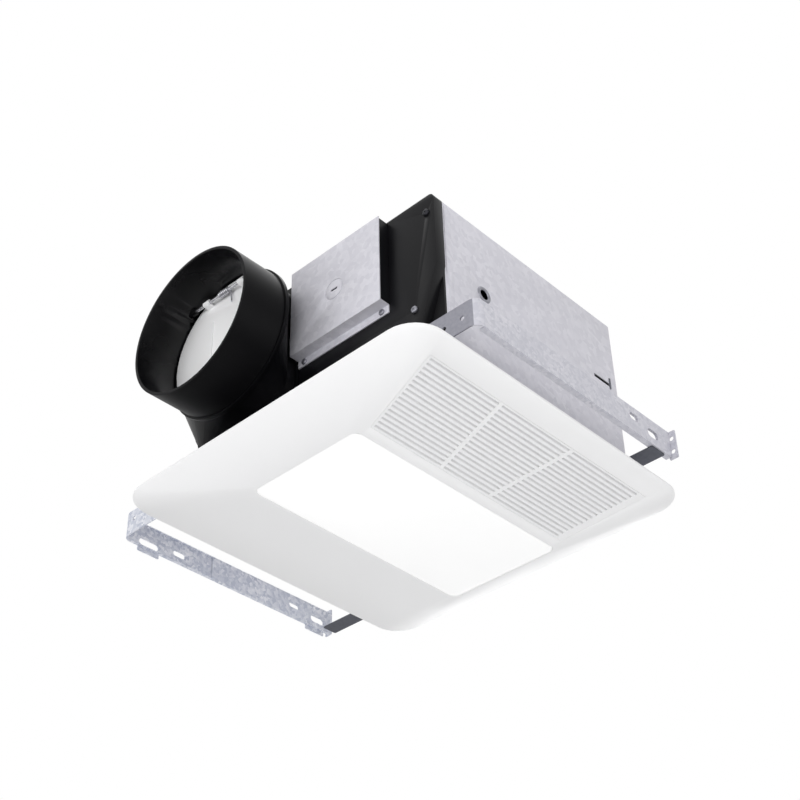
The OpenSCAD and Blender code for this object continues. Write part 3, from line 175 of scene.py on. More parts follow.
def drawn_steel(name, pale, dark, roughness=(0.25, 0.4)):
    """Small steel parts, plated or drawn: even metal with fine scratches and dull spots."""
    finish, tree, shader, place = start_finish(name, Metallic=0.9)
    spots = add(tree, "ShaderNodeTexNoise", {"Scale": per_mm(3), "Detail": 6.0},
                {"Vector": place})
    colour = add(tree, "ShaderNodeMix", {"data_type": "RGBA", 6: linear(dark), 7: linear(pale)},
                 {0: spots.outputs[0]})
    tree.links.new(colour.outputs[2], shader.inputs["Base Color"])
    gloss = add(tree, "ShaderNodeMapRange", {"From Min": 0.3, "From Max": 0.7,
                                             "To Min": roughness[0], "To Max": roughness[1]},
                {"Value": spots.outputs[0]})
    tree.links.new(gloss.outputs[0], shader.inputs["Roughness"])
    scratches = add(tree, "ShaderNodeTexNoise", {"Scale": per_mm(0.5), "Detail": 2.0},
                    {"Vector": place})
    bump = add(tree, "ShaderNodeBump", {"Strength": 0.15, "Distance": 0.00004},
               {"Height": scratches.outputs[0]})
    tree.links.new(bump.outputs[0], shader.inputs["Normal"])
    return finish


steel_sheet = galvanised_sheet("galvanised_steel_sheet", "#dad9e0", "#cdccd4", 5)
# The far rail's zinc is bluish and spangled; its pale tone is lifted near white as painted light,
# brighter than the near rail's zinc
rail_zinc_painted_light = galvanised_sheet("galvanised_far_rail_painted_light", "#f2f3f8", "#c0c5d3", 3, metallic=0.15)
pale_strip = galvanised_sheet("pale_galvanised_strip", "#d6d5dc", "#c2c2cb", 3)
# Dark as painted shade: the brackets' arm undersides are made dark for the shadow that falls on
# them
bracket_painted_shade = drawn_steel("dark_bracket_sheet_painted_shade", "#74767e", "#484a52",
                            roughness=(0.4, 0.6))
# Darker zinc as painted shade, for the shadow under the near rail's end flange
end_flange_painted_shade = drawn_steel("zinc_flange_dark_as_painted_shade", "#a6a6ae", "#80808a", roughness=(0.4, 0.55))
screw_zinc = drawn_steel("zinc_plated_screws", "#dcdce0", "#b4b4ba")
dull_screws = drawn_steel("dull_zinc_screws", "#9a9aa2", "#7c7c84", roughness=(0.35, 0.5))
black_zinc = drawn_steel("black_zinc_screws", "#3a3a40", "#26262a", roughness=(0.35, 0.5))
bright_wire = drawn_steel("bright_spring_wire", "#e8e8ec", "#c6c6cc", roughness=(0.18, 0.3))
black_pp = moulded_plastic("black_polypropylene", "#08080b", "#1e1e22", roughness=(0.34, 0.46),
                           Specular_IOR_Level=0.15)
collar_pp = moulded_plastic("deep_black_polypropylene", "#050507", "#17171a",
                            roughness=(0.34, 0.46), Specular_IOR_Level=0.08)
bore_pp = moulded_plastic("polished_black_polypropylene", "#060608", "#17171a",
                          roughness=(0.22, 0.3), Specular_IOR_Level=0.35)
grey_flap = moulded_plastic("pale_grey_abs_flap", "#fafafb", "#ffffff")
ivory_block = moulded_plastic("ivory_nylon_block", "#e4e0d2", "#f4f1e6")
green_screw = drawn_steel("green_dyed_screw", "#4aa565", "#2f7d47")
wheel_abs = moulded_plastic("off_white_abs_wheel", "#e6e4dc", "#f2f0e8")
dark_abs = moulded_plastic("charcoal_abs", "#26262a", "#4a4a50")
motor_can = drawn_steel("rolled_motor_can", "#a8a8b0", "#8a8a92", roughness=(0.3, 0.45))
rubber = moulded_plastic("black_rubber", "#18181a", "#303034", roughness=(0.6, 0.8))
white_case = moulded_plastic("white_pbt_case", "#e8e8ea", "#f6f6f6")
cover_abs = moulded_plastic("white_abs_cover", "#f3f3f4", "#fbfbfb", roughness=(0.42, 0.52),
                            grain=0.7, depth=0.03)
# The lens's faint emission is a painted glow that lifts it to white; the LEDs behind it give no
# light
lens_painted_glow = moulded_plastic("opal_acrylic_painted_glow_lens", "#fbfbfb", "#ffffff", roughness=(0.3, 0.36),
                            ior=1.49, Emission_Color=(1, 1, 1, 1), Emission_Strength=0.18)
tray_paint = moulded_plastic("white_painted_tray", "#ececec", "#f8f8f8", grain=1.6, depth=0.06)
board_mask = moulded_plastic("white_solder_mask", "#f4f4f4", "#ffffff", roughness=(0.2, 0.3))
phosphor = moulded_plastic("yellow_led_phosphor", "#f0df8e", "#f8efb8")
ferrite = moulded_plastic("grey_ferrite_magnet", "#4c4c52", "#6a6a70", grain=1.2, depth=0.12)
paper_cone = moulded_plastic("pressed_paper_cone", "#333338", "#4a4a50", roughness=(0.7, 0.85),
                             grain=1.5, depth=0.2)

FINISHES = {
    "housing": steel_sheet, "side_moulding": black_pp, "moulding_screws": dull_screws,
    "duct_adapter": collar_pp, "adapter_screws": screw_zinc, "damper_flap": grey_flap,
    "damper_pin": bright_wire, "damper_spring": bright_wire, "wiring_box": black_pp,
    "wiring_box_cover": steel_sheet, "wiring_cover_screws": dull_screws,
    "terminal_block": ivory_block, "ground_screw": green_screw, "motor_plate": steel_sheet,
    "plate_screws": dull_screws, "inlet_ring": dark_abs, "blower_scroll": dark_abs,
    "blower_wheel": wheel_abs, "wheel_blades": wheel_abs, "wheel_rim": wheel_abs,
    "motor_shaft": bright_wire, "shaft_clip": dull_screws,
    "motor": motor_can, "motor_spider": steel_sheet, "rubber_mounts": rubber,
    "motor_screws": dull_screws, "capacitor": white_case, "capacitor_strap": steel_sheet,
    "blower_plug": rubber, "blower_socket": ivory_block, "cover": cover_abs,
    "vent_grille": cover_abs, "lens": lens_painted_glow, "led_tray": tray_paint,
    "led_board": board_mask, "led_chips": phosphor, "led_driver": white_case,
    "tray_screws": screw_zinc, "speaker_brackets": tray_paint, "speaker_frames": dark_abs,
    "speaker_surrounds": rubber, "speaker_magnets": ferrite, "speaker_screws": screw_zinc,
    "left_speaker_cone": paper_cone, "right_speaker_cone": paper_cone,
    "speaker_board": dark_abs, "torsion_springs": bright_wire, "spring_clips": steel_sheet,
    "spring_brackets": steel_sheet, "near_rail": pale_strip, "far_rail": rail_zinc_painted_light,
    "near_slide": pale_strip, "far_slide": rail_zinc_painted_light, "rail_brackets": bracket_painted_shade,
    "rail_screws": dull_screws,
}
# What the record says of each node: the body that it rides on
BODIES = {n: body for body, held in frame["record"]["behaviour"]["bodies"].items() for n in held}


def wear(piece, finish):
    """Gives a piece or a CAD node one finish."""
    piece.data.materials.clear()
    piece.data.materials.append(finish)


def finish_piece(name, bm, body, finish, stands_for=(), crease=35):
    """Makes the mesh a piece in metres that rides on its body."""
    bmesh.ops.scale(bm, vec=(MM, MM, MM), verts=bm.verts)
    for face in bm.faces:
        face.smooth = True
    sharp_turn = math.radians(crease)
    for edge in bm.edges:
        edge.smooth = len(edge.link_faces) == 2 and edge.calc_face_angle(math.pi) < sharp_turn
    mesh = bpy.data.meshes.new(name)
    bm.to_mesh(mesh)
    bm.free()
    piece = bpy.data.objects.new(name, mesh)
    scene.collection.objects.link(piece)
    wear(piece, finish)
    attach(piece, body)
    if stands_for:
        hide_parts(*stands_for)
    return piece


def merged_copy(node):
    """A copy of a CAD node in millimetres, merged and with its flat faces whole."""
    bm = bmesh.new()
    bm.from_mesh(nodes[node].data)
    bmesh.ops.scale(bm, vec=(1 / MM, 1 / MM, 1 / MM), verts=bm.verts)
    bmesh.ops.remove_doubles(bm, verts=bm.verts, dist=0.002)
    bmesh.ops.dissolve_limit(bm, angle_limit=math.radians(0.6), verts=bm.verts,
                             edges=bm.edges, use_dissolve_boundaries=False)
    return bm


def rounded(node, radius):
    """A CAD node with its sharp edges rounded, standing for the node."""
    bm = merged_copy(node)
    sharp_turn = math.radians(40)
    sharp = [edge for edge in bm.edges if len(edge.link_faces) == 2
             and edge.calc_face_angle() > sharp_turn]
    bmesh.ops.bevel(bm, geom=sharp, offset=radius, offset_type="OFFSET", segments=2,
                    profile=0.5, affect="EDGES", material=-1, clamp_overlap=True)
    return finish_piece(node + "_rounded", bm, BODIES[node], FINISHES[node], [node])


def duct_connector():
    """The black connector; the bore of its collar is glossier than its eroded outside."""
    connector = rounded("duct_adapter", 0.6)
    connector.data.materials.append(bore_pp)
    mouth_x = corners("duct_adapter")[0].x * MM
    axis_y, axis_z = 62 * MM, 121 * MM
    bore_depth = 48 * MM
    for face in connector.data.polygons:
        inward = Vector((0, axis_y - face.center.y, axis_z - face.center.z))
        in_collar = face.center.x < mouth_x + bore_depth and abs(face.normal.x) < 0.3
        if in_collar and face.normal.dot(inward) > 0:
            face.material_index = 1


def smoothed(node, crease):
    """A CAD node shaded as one smooth surface up to a crease angle, standing for the node."""
    finish_piece(node + "_smooth", merged_copy(node), BODIES[node], FINISHES[node],
                 [node], crease)


def solids_of(node):
    """The separate solids of a CAD node, each as its points in millimetres."""
    bm = merged_copy(node)
    left = set(bm.verts)
    solids = []
    while left:
        reached = [left.pop()]
        points = []
        while reached:
            vert = reached.pop()
            points.append(vert.co.copy())
            for edge in vert.link_edges:
                other = edge.other_vert(vert)
                if other in left:
                    left.remove(other)
                    reached.append(other)
        solids.append(points)
    bm.free()
    return sorted(solids, key=lambda points: [round(min(p[i] for p in points), 1)
                                              for i in range(3)])


def join(bm, part, place, outward, along=None, turn=0):
    """Adds a part made around the origin: its Z faces outward and its X lies along."""
    outward = Vector(outward)
    along = Vector(along) if along else outward.orthogonal().normalized()
    facing = Matrix((along, outward.cross(along), outward)).transposed().to_4x4()
    put = Matrix.Translation(place) @ facing @ Matrix.Rotation(math.radians(turn), 4, "Z")
    bmesh.ops.transform(part, matrix=put, verts=part.verts)
    bmesh.ops.recalc_face_normals(part, faces=part.faces)
    held = bpy.data.meshes.new("part")
    part.to_mesh(held)
    part.free()
    bm.from_mesh(held)
    bpy.data.meshes.remove(held)


def grow_rings(bm, radius, height, rings):
    """Carries an open round edge on through rings of radius and height, and closes the last."""
    edges = [edge for edge in bm.edges if edge.is_boundary]
    for next_radius, next_height in rings:
        grown = bmesh.ops.extrude_edge_only(bm, edges=edges)["geom"]
        verts = [part for part in grown if isinstance(part, bmesh.types.BMVert)]
        edges = [part for part in grown
                 if isinstance(part, bmesh.types.BMEdge) and part.is_boundary]
        widen = next_radius / radius
        bmesh.ops.scale(bm, vec=(widen, widen, 1), verts=verts)
        bmesh.ops.translate(bm, vec=(0, 0, next_height - height), verts=verts)
        radius, height = next_radius, next_height
    bmesh.ops.holes_fill(bm, edges=edges, sides=0)


def lathed(rings, segments=32):
    """A round solid from its rings of radius and height, closed at both ends."""
    bm = bmesh.new()
    radius, height = rings[0]
    bmesh.ops.create_circle(bm, segments=segments, radius=radius, cap_ends=True)
    bmesh.ops.translate(bm, vec=(0, 0, height), verts=bm.verts)
    grow_rings(bm, radius, height, rings[1:])
    return bm


def bead_ring(ring_r, bead_r, flatten):
    """A bead, flattened to a share of its height, bent into a ring that lies flat."""
    bm = bmesh.new()
    bead = bmesh.ops.create_circle(bm, segments=12, radius=bead_r)["verts"]
    bmesh.ops.scale(bm, vec=(1, flatten, 1), verts=bead)
    bmesh.ops.rotate(bm, cent=(0, 0, 0), matrix=Matrix.Rotation(math.pi / 2, 3, "X"), verts=bead)
    bmesh.ops.translate(bm, vec=(ring_r, 0, 0), verts=bead)
    bmesh.ops.spin(bm, geom=bm.verts[:] + bm.edges[:], cent=(0, 0, 0), axis=(0, 0, 1),
                   angle=2 * math.pi, steps=40, use_merge=True)
    return bm


def round_cornered(size_x, size_y, corner, segments):
    """A flat oblong on XY with round corners."""
    bm = bmesh.new()
    bmesh.ops.create_grid(bm, x_segments=1, y_segments=1, size=0.5)
    bmesh.ops.scale(bm, vec=(size_x, size_y, 1), verts=bm.verts)
    bmesh.ops.bevel(bm, geom=bm.verts[:], offset=corner, offset_type="OFFSET",
                    segments=segments, profile=0.5, affect="VERTICES", material=-1)
    return bm


def pressed(size_x, size_y, rise, corner, slope=0.2, soft=0.15):
    """A flat piece of sheet with round corners and sloped, softened edges, lying on XY."""
    bm = round_cornered(size_x, size_y, corner, 5)
    raised = bmesh.ops.extrude_face_region(bm, geom=bm.faces[:], use_keep_orig=True)["geom"]
    tops = [part for part in raised if isinstance(part, bmesh.types.BMVert)]
    bmesh.ops.scale(bm, vec=(1 - 2 * slope / size_x, 1 - 2 * slope / size_y, 1), verts=tops)
    bmesh.ops.translate(bm, vec=(0, 0, rise), verts=tops)
    rim = [edge for edge in bm.edges if edge.verts[0] in tops and edge.verts[1] in tops]
    bmesh.ops.bevel(bm, geom=rim, offset=soft, offset_type="OFFSET", segments=2, profile=0.5,
                    affect="EDGES", material=-1)
    return bm


def punched(size_x, size_y, thick, slots=()):
    """A flat sheet lying on XY with round-ended slots: their places, lengths and widths."""
    bm = round_cornered(size_x, size_y, 0.8, 2)
    bmesh.ops.delete(bm, geom=bm.faces[:], context="FACES_ONLY")
    segments = 24
    for x, y, length, width in slots:
        ring = bmesh.ops.create_circle(bm, segments=segments, radius=width / 2)["verts"]
        bmesh.ops.rotate(bm, cent=(0, 0, 0), verts=ring,
                         matrix=Matrix.Rotation(math.pi / segments, 3, "Z"))
        for way in (-1, 1):
            half = [vert for vert in ring if vert.co.x * way > 0]
            bmesh.ops.translate(bm, vec=(way * (length - width) / 2, 0, 0), verts=half)
        bmesh.ops.translate(bm, vec=(x, y, 0), verts=ring)
    bmesh.ops.triangle_fill(bm, use_beauty=True, edges=bm.edges[:], normal=(0, 0, 1))
    raised = bmesh.ops.extrude_face_region(bm, geom=bm.faces[:], use_keep_orig=True)["geom"]
    tops = [part for part in raised if isinstance(part, bmesh.types.BMVert)]
    bmesh.ops.translate(bm, vec=(0, 0, thick), verts=tops)
    return bm


def bent_corner(bend_r, height, thick):
    """A quarter turn of standing sheet round the Z axis, from +X to +Y."""
    bm = bmesh.new()
    bmesh.ops.create_grid(bm, x_segments=1, y_segments=1, size=0.5)
    bmesh.ops.scale(bm, vec=(thick, height, 1), verts=bm.verts)
    bmesh.ops.rotate(bm, cent=(0, 0, 0), matrix=Matrix.Rotation(math.pi / 2, 3, "X"),
                     verts=bm.verts)
    bmesh.ops.translate(bm, vec=(bend_r - thick / 2, 0, 0), verts=bm.verts)
    bmesh.ops.spin(bm, geom=bm.verts[:] + bm.edges[:] + bm.faces[:], cent=(0, 0, 0),
                   axis=(0, 0, 1), angle=math.pi / 2, steps=10)
    return bm


def screw_sizes(points):
    """A CAD screw's outer end, the way it faces, its head, its shank and its length."""
    low = Vector([min(p[i] for p in points) for i in range(3)])
    high = Vector([max(p[i] for p in points) for i in range(3)])
    span = high - low
    axis = max(range(3), key=lambda i: abs(span[i] - sorted(span)[1]))
    centre = (low + high) / 2

    def reach(point):
        off = point - centre
        off[axis] = 0
        return off.length

    low_reach = max(reach(p) for p in points if p[axis] < low[axis] + 0.1)
    high_reach = max(reach(p) for p in points if p[axis] > high[axis] - 0.1)
    outward = Vector((0, 0, 0))
    outward[axis] = 1 if high_reach > low_reach else -1
    place = centre.copy()
    place[axis] = high[axis] if high_reach > low_reach else low[axis]
    head_r = max(low_reach, high_reach)
    depths = [(abs(p[axis] - place[axis]), reach(p)) for p in points]
    head_h = max(depth for depth, r in depths if r > 0.93 * head_r)
    shank_r = max([r for depth, r in depths if depth > head_h + 0.1], default=head_r / 3)
    return place, outward, head_r, head_h, shank_r, span[axis]


def cross_screw(head_r, head_h, shank_r, length):
    """A pan-head screw: cross recess, domed head, flat underside and shank."""
    cells = 7
    bm = bmesh.new()
    bmesh.ops.create_grid(bm, x_segments=cells, y_segments=cells, size=head_r / 2)
    cell = head_r / cells

    def in_cross(face):
        x, y = (abs(c) / cell for c in face.calc_center_median()[:2])
        return min(x, y) < 0.5 and max(x, y) < 2.5

    bmesh.ops.inset_region(bm, faces=[face for face in bm.faces if in_cross(face)],
                           thickness=cell * 0.15, depth=-head_h * 0.6, use_even_offset=True,
                           use_boundary=True)
    dome_r, dome_z = head_r * 0.78, -head_h * 0.08
    dome = bmesh.ops.create_circle(bm, segments=4 * cells, radius=dome_r)
    bmesh.ops.translate(bm, vec=(0, 0, dome_z), verts=dome["verts"])
    bmesh.ops.bridge_loops(bm, edges=[edge for edge in bm.edges if len(edge.link_faces) < 2])
    rings = [(head_r * 0.93, -head_h * 0.28), (head_r, -head_h * 0.6), (head_r, -head_h)]
    if length > head_h + shank_r:
        rings += [(shank_r, -head_h), (shank_r, shank_r * 0.8 - length),
                  (shank_r * 0.3, -length)]
    grow_rings(bm, dome_r, dome_z, rings)
    return bm


def screws(name, node, finish, chosen=None):
    """Real screws in the places of a CAD node's plain ones."""
    bm = bmesh.new()
    degrees_apart = 17
    for number, points in enumerate(solids_of(node)):
        place, outward, head_r, head_h, shank_r, length = screw_sizes(points)
        if chosen is None or chosen(place):
            join(bm, cross_screw(head_r, head_h, shank_r, length), place, outward,
                 turn=degrees_apart * number)
    finish_piece(name, bm, BODIES[node], finish, [node])


def corners(node):
    """A CAD node's lowest and highest corners in millimetres."""
    return [Vector(corner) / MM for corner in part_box(node)]


def spot_weld():
    """The shallow round mark that a spot welder leaves on sheet."""
    return lathed([(2.8, 0), (2.6, 0.22), (2.0, 0.3), (1.5, 0.1)], segments=16)


def welded_lap(bm, start, end, outward):
    """A folded flap of the next wall, laid on this one from start to end and spot welded."""
    width, sheet, spacing = 13, 0.8, 38
    start, end = Vector(start), Vector(end)
    length = (end - start).length
    along = (end - start).normalized()
    middle = (start + end) / 2
    join(bm, pressed(length, width, sheet, 2.5), middle, outward, along)
    count = max(2, round(length / spacing))
    for number in range(count):
        at = start + along * length * (number + 0.5) / count + Vector(outward) * sheet
        join(bm, spot_weld(), at, outward)


CABLE_X, CABLE_Z = -62, 111


def housing_folds():
    """Folded laps, pressed panels and a knock-out on the steel housing."""
    low, high = corners("housing")
    centre = (low + high) / 2
    size = high - low
    inset, lap_middle, lap_foot = 3, 7, 42
    bm = bmesh.new()
    for side, wall_y in ((-1, low.y), (1, high.y)):
        lap_y = wall_y - side * (inset + lap_middle)
        welded_lap(bm, (low.x + inset, lap_y, high.z), (high.x - inset, lap_y, high.z), (0, 0, 1))
        welded_lap(bm, (high.x, lap_y, low.z + lap_foot), (high.x, lap_y, high.z - inset),
                   (1, 0, 0))
    # Each pressed panel's length, width, corner, middle, outward way and way along
    panels = [
        (size.x - 76, size.y - 84, 16, (centre.x, centre.y, high.z), (0, 0, 1), (1, 0, 0)),
        (size.y - 84, size.z - 92, 12, (high.x, centre.y, centre.z + 14), (1, 0, 0), (0, 1, 0)),
        (size.x - 110, size.z - 104, 12, (centre.x + 26, high.y, centre.z + 8), (0, 1, 0),
         (1, 0, 0)),
    ]
    panel_rise = 1.3
    for length, width, corner, place, outward, along in panels:
        join(bm, pressed(length, width, panel_rise, corner, slope=2.5, soft=0.8), place,
             outward, along)
    # A narrow raised strip on the near wall, beside the black end wall
    strip_w, strip_in, strip_up = 8, 6, 26
    join(bm, pressed(strip_w, size.z - 60, 0.8, 1.5, slope=0.3),
         (low.x + strip_in, low.y, centre.z + strip_up), (0, -1, 0), (1, 0, 0))
    knockout_r = 11
    join(bm, lathed([(knockout_r, 0), (knockout_r - 0.2, 0.4), (knockout_r - 1.4, 0.5),
                     (knockout_r - 1.8, 0.25)]), (CABLE_X, high.y, CABLE_Z), (0, 1, 0))
    finish_piece("housing_folds", bm, "fan_housing", steel_sheet)


def cable_bush():
    """The rolled bush that keeps the mains cable off the sheet's edge."""
    wall_y = corners("housing")[0].y
    ring_r, bead_r = 6.8, 1.8
    bm = bmesh.new()
    join(bm, bead_ring(ring_r, bead_r, flatten=0.6), (CABLE_X, wall_y, CABLE_Z), (0, -1, 0))
    finish_piece("cable_bush", bm, "fan_housing", dull_screws)


RAIL_SHEET = 1.2
NAIL_HOLE = 4.8
RAIL_MIDDLE_Z = 27


def hanger_rail(node, side, low_z, high_z, lip, slots, ears=(), flange_shade_finish=None):
    """A rail as in the photo: flat face away from the housing, lips and flange turned to it."""
    low, high = corners(node)
    web, inner = max(abs(low.y), abs(high.y)), min(abs(low.y), abs(high.y))
    bend_r = 9
    height, mid_z = high_z - low_z, (high_z + low_z) / 2
    length, mid_x = high.x - low.x - bend_r, (low.x + bend_r + high.x) / 2
    bm = bmesh.new()
    cuts = [(x - mid_x, -side * (z - mid_z), size, width) for x, z, size, width in slots]
    join(bm, punched(length, height, RAIL_SHEET, cuts),
         (mid_x, side * (web - RAIL_SHEET), mid_z), (0, side, 0), (1, 0, 0))
    join(bm, bent_corner(bend_r, height, RAIL_SHEET),
         (low.x + bend_r, side * (web - bend_r), mid_z), (0, 0, 1), (1, 0, 0),
         turn=90 if side > 0 else 180)
    width, mid_y = web - bend_r - inner, side * (web - bend_r + inner) / 2
    hole_places = (16, 36)
    cuts = [(side * (web - at) - mid_y, mid_z - RAIL_MIDDLE_Z, NAIL_HOLE, NAIL_HOLE)
            for at in hole_places]
    join(bm, punched(width, height, RAIL_SHEET, cuts), (low.x + RAIL_SHEET, mid_y, mid_z),
         (-1, 0, 0), (0, 1, 0))
    # The lips lie a little inside the web's edges, so that no two faces share a plane
    set_in, set_back = 0.15, 0.4
    for z in (low_z + set_in, high_z - RAIL_SHEET - set_in):
        join(bm, pressed(length, lip, RAIL_SHEET, 1),
             (mid_x, side * (web - set_back - lip / 2), z), (0, 0, 1), (1, 0, 0))
    ear_length, ear_depth = 26, 5
    for x in ears:
        join(bm, punched(ear_length, ear_depth, RAIL_SHEET),
             (x, side * (web - RAIL_SHEET), low_z - ear_depth / 2), (0, side, 0), (1, 0, 0))
    rail = finish_piece(node + "_channel", bm, BODIES[node], FINISHES[node], [node])
    # The end flange takes the darker zinc, painted shade for the shadow at the rail's end
    if flange_shade_finish:
        rail.data.materials.append(flange_shade_finish)
        for face in rail.data.polygons:
            if face.center.x < (low.x + RAIL_SHEET) * MM:
                face.material_index = 1


def hanger_slide(node, rail, side, low_z, high_z, slots):
    """The strip that slides in a rail, with its nailing flange turned out against the joist."""
    low, high = corners(node)
    web = max(abs(corner.y) for corner in corners(rail))
    outer = max(abs(low.y), abs(high.y))
    play = 0.3
    face = web - RAIL_SHEET - play
    height, mid_z = high_z - low_z - 2 * (RAIL_SHEET + play), (high_z + low_z) / 2
    length, mid_x = high.x - low.x, (high.x + low.x) / 2
    bm = bmesh.new()
    cuts = [(x - mid_x, -side * (z - mid_z), size, width) for x, z, size, width in slots
            if x - size > low.x]
    join(bm, punched(length - RAIL_SHEET, height, RAIL_SHEET,
                     [(x + RAIL_SHEET / 2, z, size, width) for x, z, size, width in cuts]),
         (mid_x - RAIL_SHEET / 2, side * (face - RAIL_SHEET), mid_z), (0, side, 0), (1, 0, 0))
    inner = face - RAIL_SHEET
    mid_y = side * (outer + inner) / 2
    hole_inset, hole_rise = 4.5, 7
    cuts = [(side * (outer - hole_inset) - mid_y, rise, NAIL_HOLE, NAIL_HOLE)
            for rise in (-hole_rise, hole_rise)]
    join(bm, punched(outer - inner, high.z - low.z, RAIL_SHEET, cuts),
         (high.x - RAIL_SHEET, mid_y, (high.z + low.z) / 2), (1, 0, 0), (0, 1, 0))
    finish_piece(node + "_strip", bm, BODIES[node], FINISHES[node], [node])


def hanger_brackets(near_z, far_z):
    """Folded brackets, dark as painted shade: feet screwed to the housing, arms out to the rails'
    lower lips.
    """
    low, high = corners("housing")
    wall = abs(low.y)
    bm = bmesh.new()
    near_x, near_w, near_out, near_foot_h = 121, 20, 199.5, 17
    join(bm, pressed(near_w, near_out - wall, RAIL_SHEET, 1.5),
         (near_x, -(near_out + wall) / 2, near_z - RAIL_SHEET), (0, 0, 1), (1, 0, 0))
    join(bm, pressed(near_w, near_foot_h, RAIL_SHEET, 1.5),
         (near_x, low.y, near_z + near_foot_h / 2), (0, -1, 0), (1, 0, 0))
    far_end, far_out, far_foot_y, far_foot_w, far_foot_h = 151, 244, 107, 40, 22
    join(bm, pressed(far_end - high.x, far_out - far_foot_y, RAIL_SHEET, 1.5),
         ((far_end + high.x) / 2, (far_out + far_foot_y) / 2, far_z - RAIL_SHEET), (0, 0, 1),
         (1, 0, 0))
    join(bm, pressed(far_foot_w, far_foot_h, RAIL_SHEET, 1.5),
         (high.x, far_foot_y + far_foot_w / 2, far_z + far_foot_h / 2), (1, 0, 0), (0, 1, 0))
    # A small dark strip at the end of the slot in the near wall, painted shade that carries the
    # slot's dark line on
    shade_strip_w, shade_strip_h, shade_strip_x, shade_strip_z = 2.4, 13, 122.4, 112.8
    join(bm, pressed(shade_strip_w, shade_strip_h, 0.8, 0.8), (shade_strip_x, low.y, shade_strip_z), (0, -1, 0), (1, 0, 0))
    finish_piece("hanger_brackets", bm, "fan_housing", bracket_painted_shade,
                 ["rail_brackets"])


def between(low, high, share):
    """The value at a share of the way from low to high."""
    return low + (high - low) * share


def drafted_vent():
    """The vent with slots that narrow inward, as moulded louvres do, and with slanted ribs."""
    node = "vent_grille"
    bm = merged_copy(node)
    walls = [face for face in bm.faces if face.normal.y < -0.9]
    slope = walls[0].normal.copy()
    outward = slope.cross(Vector((1, 0, 0)))
    if outward.z > 0:
        outward.negate()
    inner = min(vert.co.dot(outward) for vert in bm.verts)
    start = min(vert.co.dot(slope) for vert in bm.verts)
    width = max(vert.co.dot(slope) for vert in bm.verts) - start
    rim, wall_area, draft, inner_band = 4.5, 2000, 1.9, 0.5
    in_slots = [vert for vert in bm.verts
                if rim < vert.co.dot(slope) - start < width - rim and
                all(face.calc_area() < wall_area or abs(face.normal.dot(outward)) > 0.9
                    for face in vert.link_faces)]
    drafted = {vert for face in walls for vert in face.verts
               if vert in in_slots and vert.co.dot(outward) < inner + inner_band}
    bmesh.ops.translate(bm, vec=slope * draft, verts=list(drafted))
    bmesh.ops.triangulate(bm, faces=bm.faces[:])
    # How far the photo's rows and ribs stand from even thirds: place, near the lens, far from it
    shifts = [(-1.3, -2, -2), (-0.9, -2, -2), (-0.4, 1, -8.7), (-0.25, 1, -8.7),
              (0.25, -19.5, -7), (0.4, -19.5, -7), (0.9, -4, -5), (1.3, -4, -5)]
    inner_half, outer_half = 123, 142
    for vert in in_slots:
        share = (vert.co.dot(slope) - start) / width
        part = vert.co.x / between(inner_half, outer_half, share)
        for left, right in zip(shifts, shifts[1:]):
            if left[0] <= part < right[0]:
                along = (part - left[0]) / (right[0] - left[0])
                vert.co.x += between(between(left[1], left[2], share),
                                     between(right[1], right[2], share), along)
                break
    finish_piece(node + "_drafted", bm, BODIES[node], FINISHES[node], [node])


def light_studio():
    """Plain soft light from all round, a little stronger from the camera's side."""
    world = bpy.data.worlds.new("studio")
    scene.world = world
    world.use_nodes = True
    tree = world.node_tree
    tree.nodes.clear()
    path = add(tree, "ShaderNodeLightPath", {})
    seen = add(tree, "ShaderNodeMath", {"operation": "MAXIMUM"},
               {0: path.outputs["Is Camera Ray"], 1: path.outputs["Is Glossy Ray"]})
    shown = add(tree, "ShaderNodeMath", {"operation": "MAXIMUM"},
                {0: seen.outputs[0], 1: path.outputs["Is Transmission Ray"]})
    # Seen or mirrored the world is plain white, while it lights the part at over half of that
    strength = add(tree, "ShaderNodeMapRange", {"To Min": 0.565, "To Max": 1.0},
                   {"Value": shown.outputs[0]})
    sky = add(tree, "ShaderNodeBackground", {"Color": (1, 1, 1, 1)},
              {"Strength": strength.outputs[0]})
    add(tree, "ShaderNodeOutputWorld", {}, {"Surface": sky.outputs[0]})
    lamps = [
        ("front_lamp", (-1.7, -1.0, -0.15), 1.2, 9.5),
        ("duct_lamp", (-1.8, 0.6, 0.1), 0.6, 4.8),
        ("wall_lamp", (-0.3, -1.9, -0.1), 1.2, 4.8),
        ("low_lamp", (-0.5, -0.6, -1.0), 1.2, 2.0),
        ("top_lamp", (0.3, 0.2, 1.8), 1.6, 13.4),
        ("side_lamp", (1.7, 0.9, 0.4), 1.2, 7.4),
    ]
    for name, place, size, watts in lamps:
        lamp = bpy.data.lights.new(name, "AREA")
        lamp.energy, lamp.size = watts, size
        stand = bpy.data.objects.new(name, lamp)
        scene.collection.objects.link(stand)
        stand.location = place
        aim = Vector((0, 0, 0.05)) - Vector(place)
        stand.rotation_euler = aim.to_track_quat("-Z", "Y").to_euler()
        stand.visible_camera = False


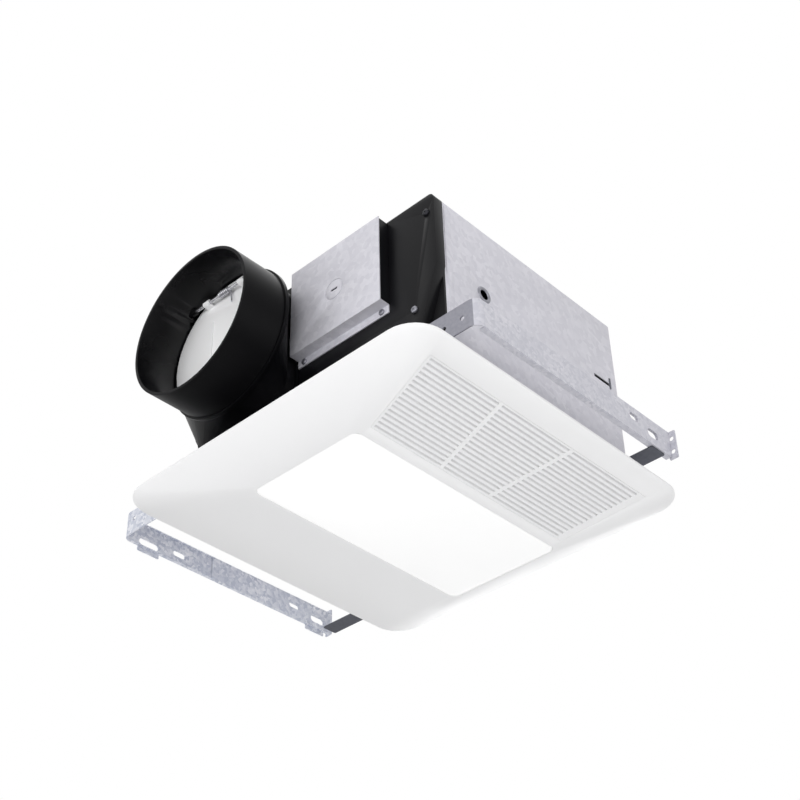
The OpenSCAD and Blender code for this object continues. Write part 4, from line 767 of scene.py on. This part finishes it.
def lay_floor():
    """A pale floor well below the fan, as in the room that it hangs in."""
    bm = bmesh.new()
    half_side, floor_z = 6, -1.25
    bmesh.ops.create_grid(bm, x_segments=4, y_segments=4, size=half_side)
    bmesh.ops.translate(bm, vec=(0, 0, floor_z), verts=bm.verts)
    mesh = bpy.data.meshes.new("floor")
    bm.to_mesh(mesh)
    bm.free()
    floor = bpy.data.objects.new("floor", mesh)
    scene.collection.objects.link(floor)
    finish, tree, shader, place = start_finish("pale_floor_paint", Roughness=0.9)
    # To the camera alone over half of the paint's light is plain white, so its shadows are soft
    path = add(tree, "ShaderNodeLightPath", {})
    lift = add(tree, "ShaderNodeMath", {"operation": "MULTIPLY", 1: 0.56},
               {0: path.outputs["Is Camera Ray"]})
    glow = add(tree, "ShaderNodeEmission", {"Color": (1, 1, 1, 1)})
    blend = add(tree, "ShaderNodeMixShader", {},
                {0: lift.outputs[0], 1: shader.outputs[0], 2: glow.outputs[0]})
    tree.links.new(blend.outputs[0], tree.nodes["Material Output"].inputs["Surface"])
    cloud = add(tree, "ShaderNodeTexNoise", {"Scale": per_mm(400)}, {"Vector": place})
    colour = add(tree, "ShaderNodeMix", {"data_type": "RGBA", 6: linear("#f4f4f4"),
                                         7: linear("#f7f7f7")}, {0: cloud.outputs[0]})
    tree.links.new(colour.outputs[2], shader.inputs["Base Color"])
    wear(floor, finish)


place_camera()
scene.view_settings.view_transform = "Standard"
for node, finish in FINISHES.items():
    wear(nodes[node], finish)
light_studio()
lay_floor()

# How far each of these nodes has its sharp edges rounded
for node, radius in (("housing", 0.35), ("side_moulding", 0.6), ("wiring_box_cover", 0.35),
                     ("cover", 0.5), ("damper_flap", 0.4), ("lens", 0.7)):
    rounded(node, radius)
duct_connector()
for node in ("damper_spring", "torsion_springs"):
    smoothed(node, crease=80)
# Of the moulding's screws only the one low on its face is grey, the corner ones are black
screws("face_screw", "moulding_screws", dull_screws, lambda place: 50 < place.z < 90)
screws("corner_screws", "moulding_screws", black_zinc, lambda place: not 50 < place.z < 90)
for node in ("adapter_screws", "wiring_cover_screws", "ground_screw", "plate_screws",
             "motor_screws", "tray_screws", "speaker_screws", "rail_screws"):
    screws(node + "_pan_heads", node, FINISHES[node])
# The rails' lower and upper edges, and each slot's place along X, height, length and width
NEAR_Z, FAR_Z = (14, 42), (11, 37)
near_slots = [(85, 31, 13, 7), (113, 26, 16, 9)]
far_slots = [(-98, 17, 24, 7), (-60, 21.5, 15, 6), (96, 25, 15, 6), (130, 21, 20, 8)]
hanger_rail("near_rail", -1, *NEAR_Z, lip=6, slots=near_slots, flange_shade_finish=end_flange_painted_shade)
hanger_rail("far_rail", 1, *FAR_Z, lip=2.5, slots=far_slots, ears=(-98, 127))
hanger_slide("near_slide", "near_rail", -1, *NEAR_Z, near_slots)
hanger_slide("far_slide", "far_rail", 1, *FAR_Z, far_slots)
hanger_brackets(NEAR_Z[0], FAR_Z[0] + RAIL_SHEET)
drafted_vent()
housing_folds()
cable_bush()
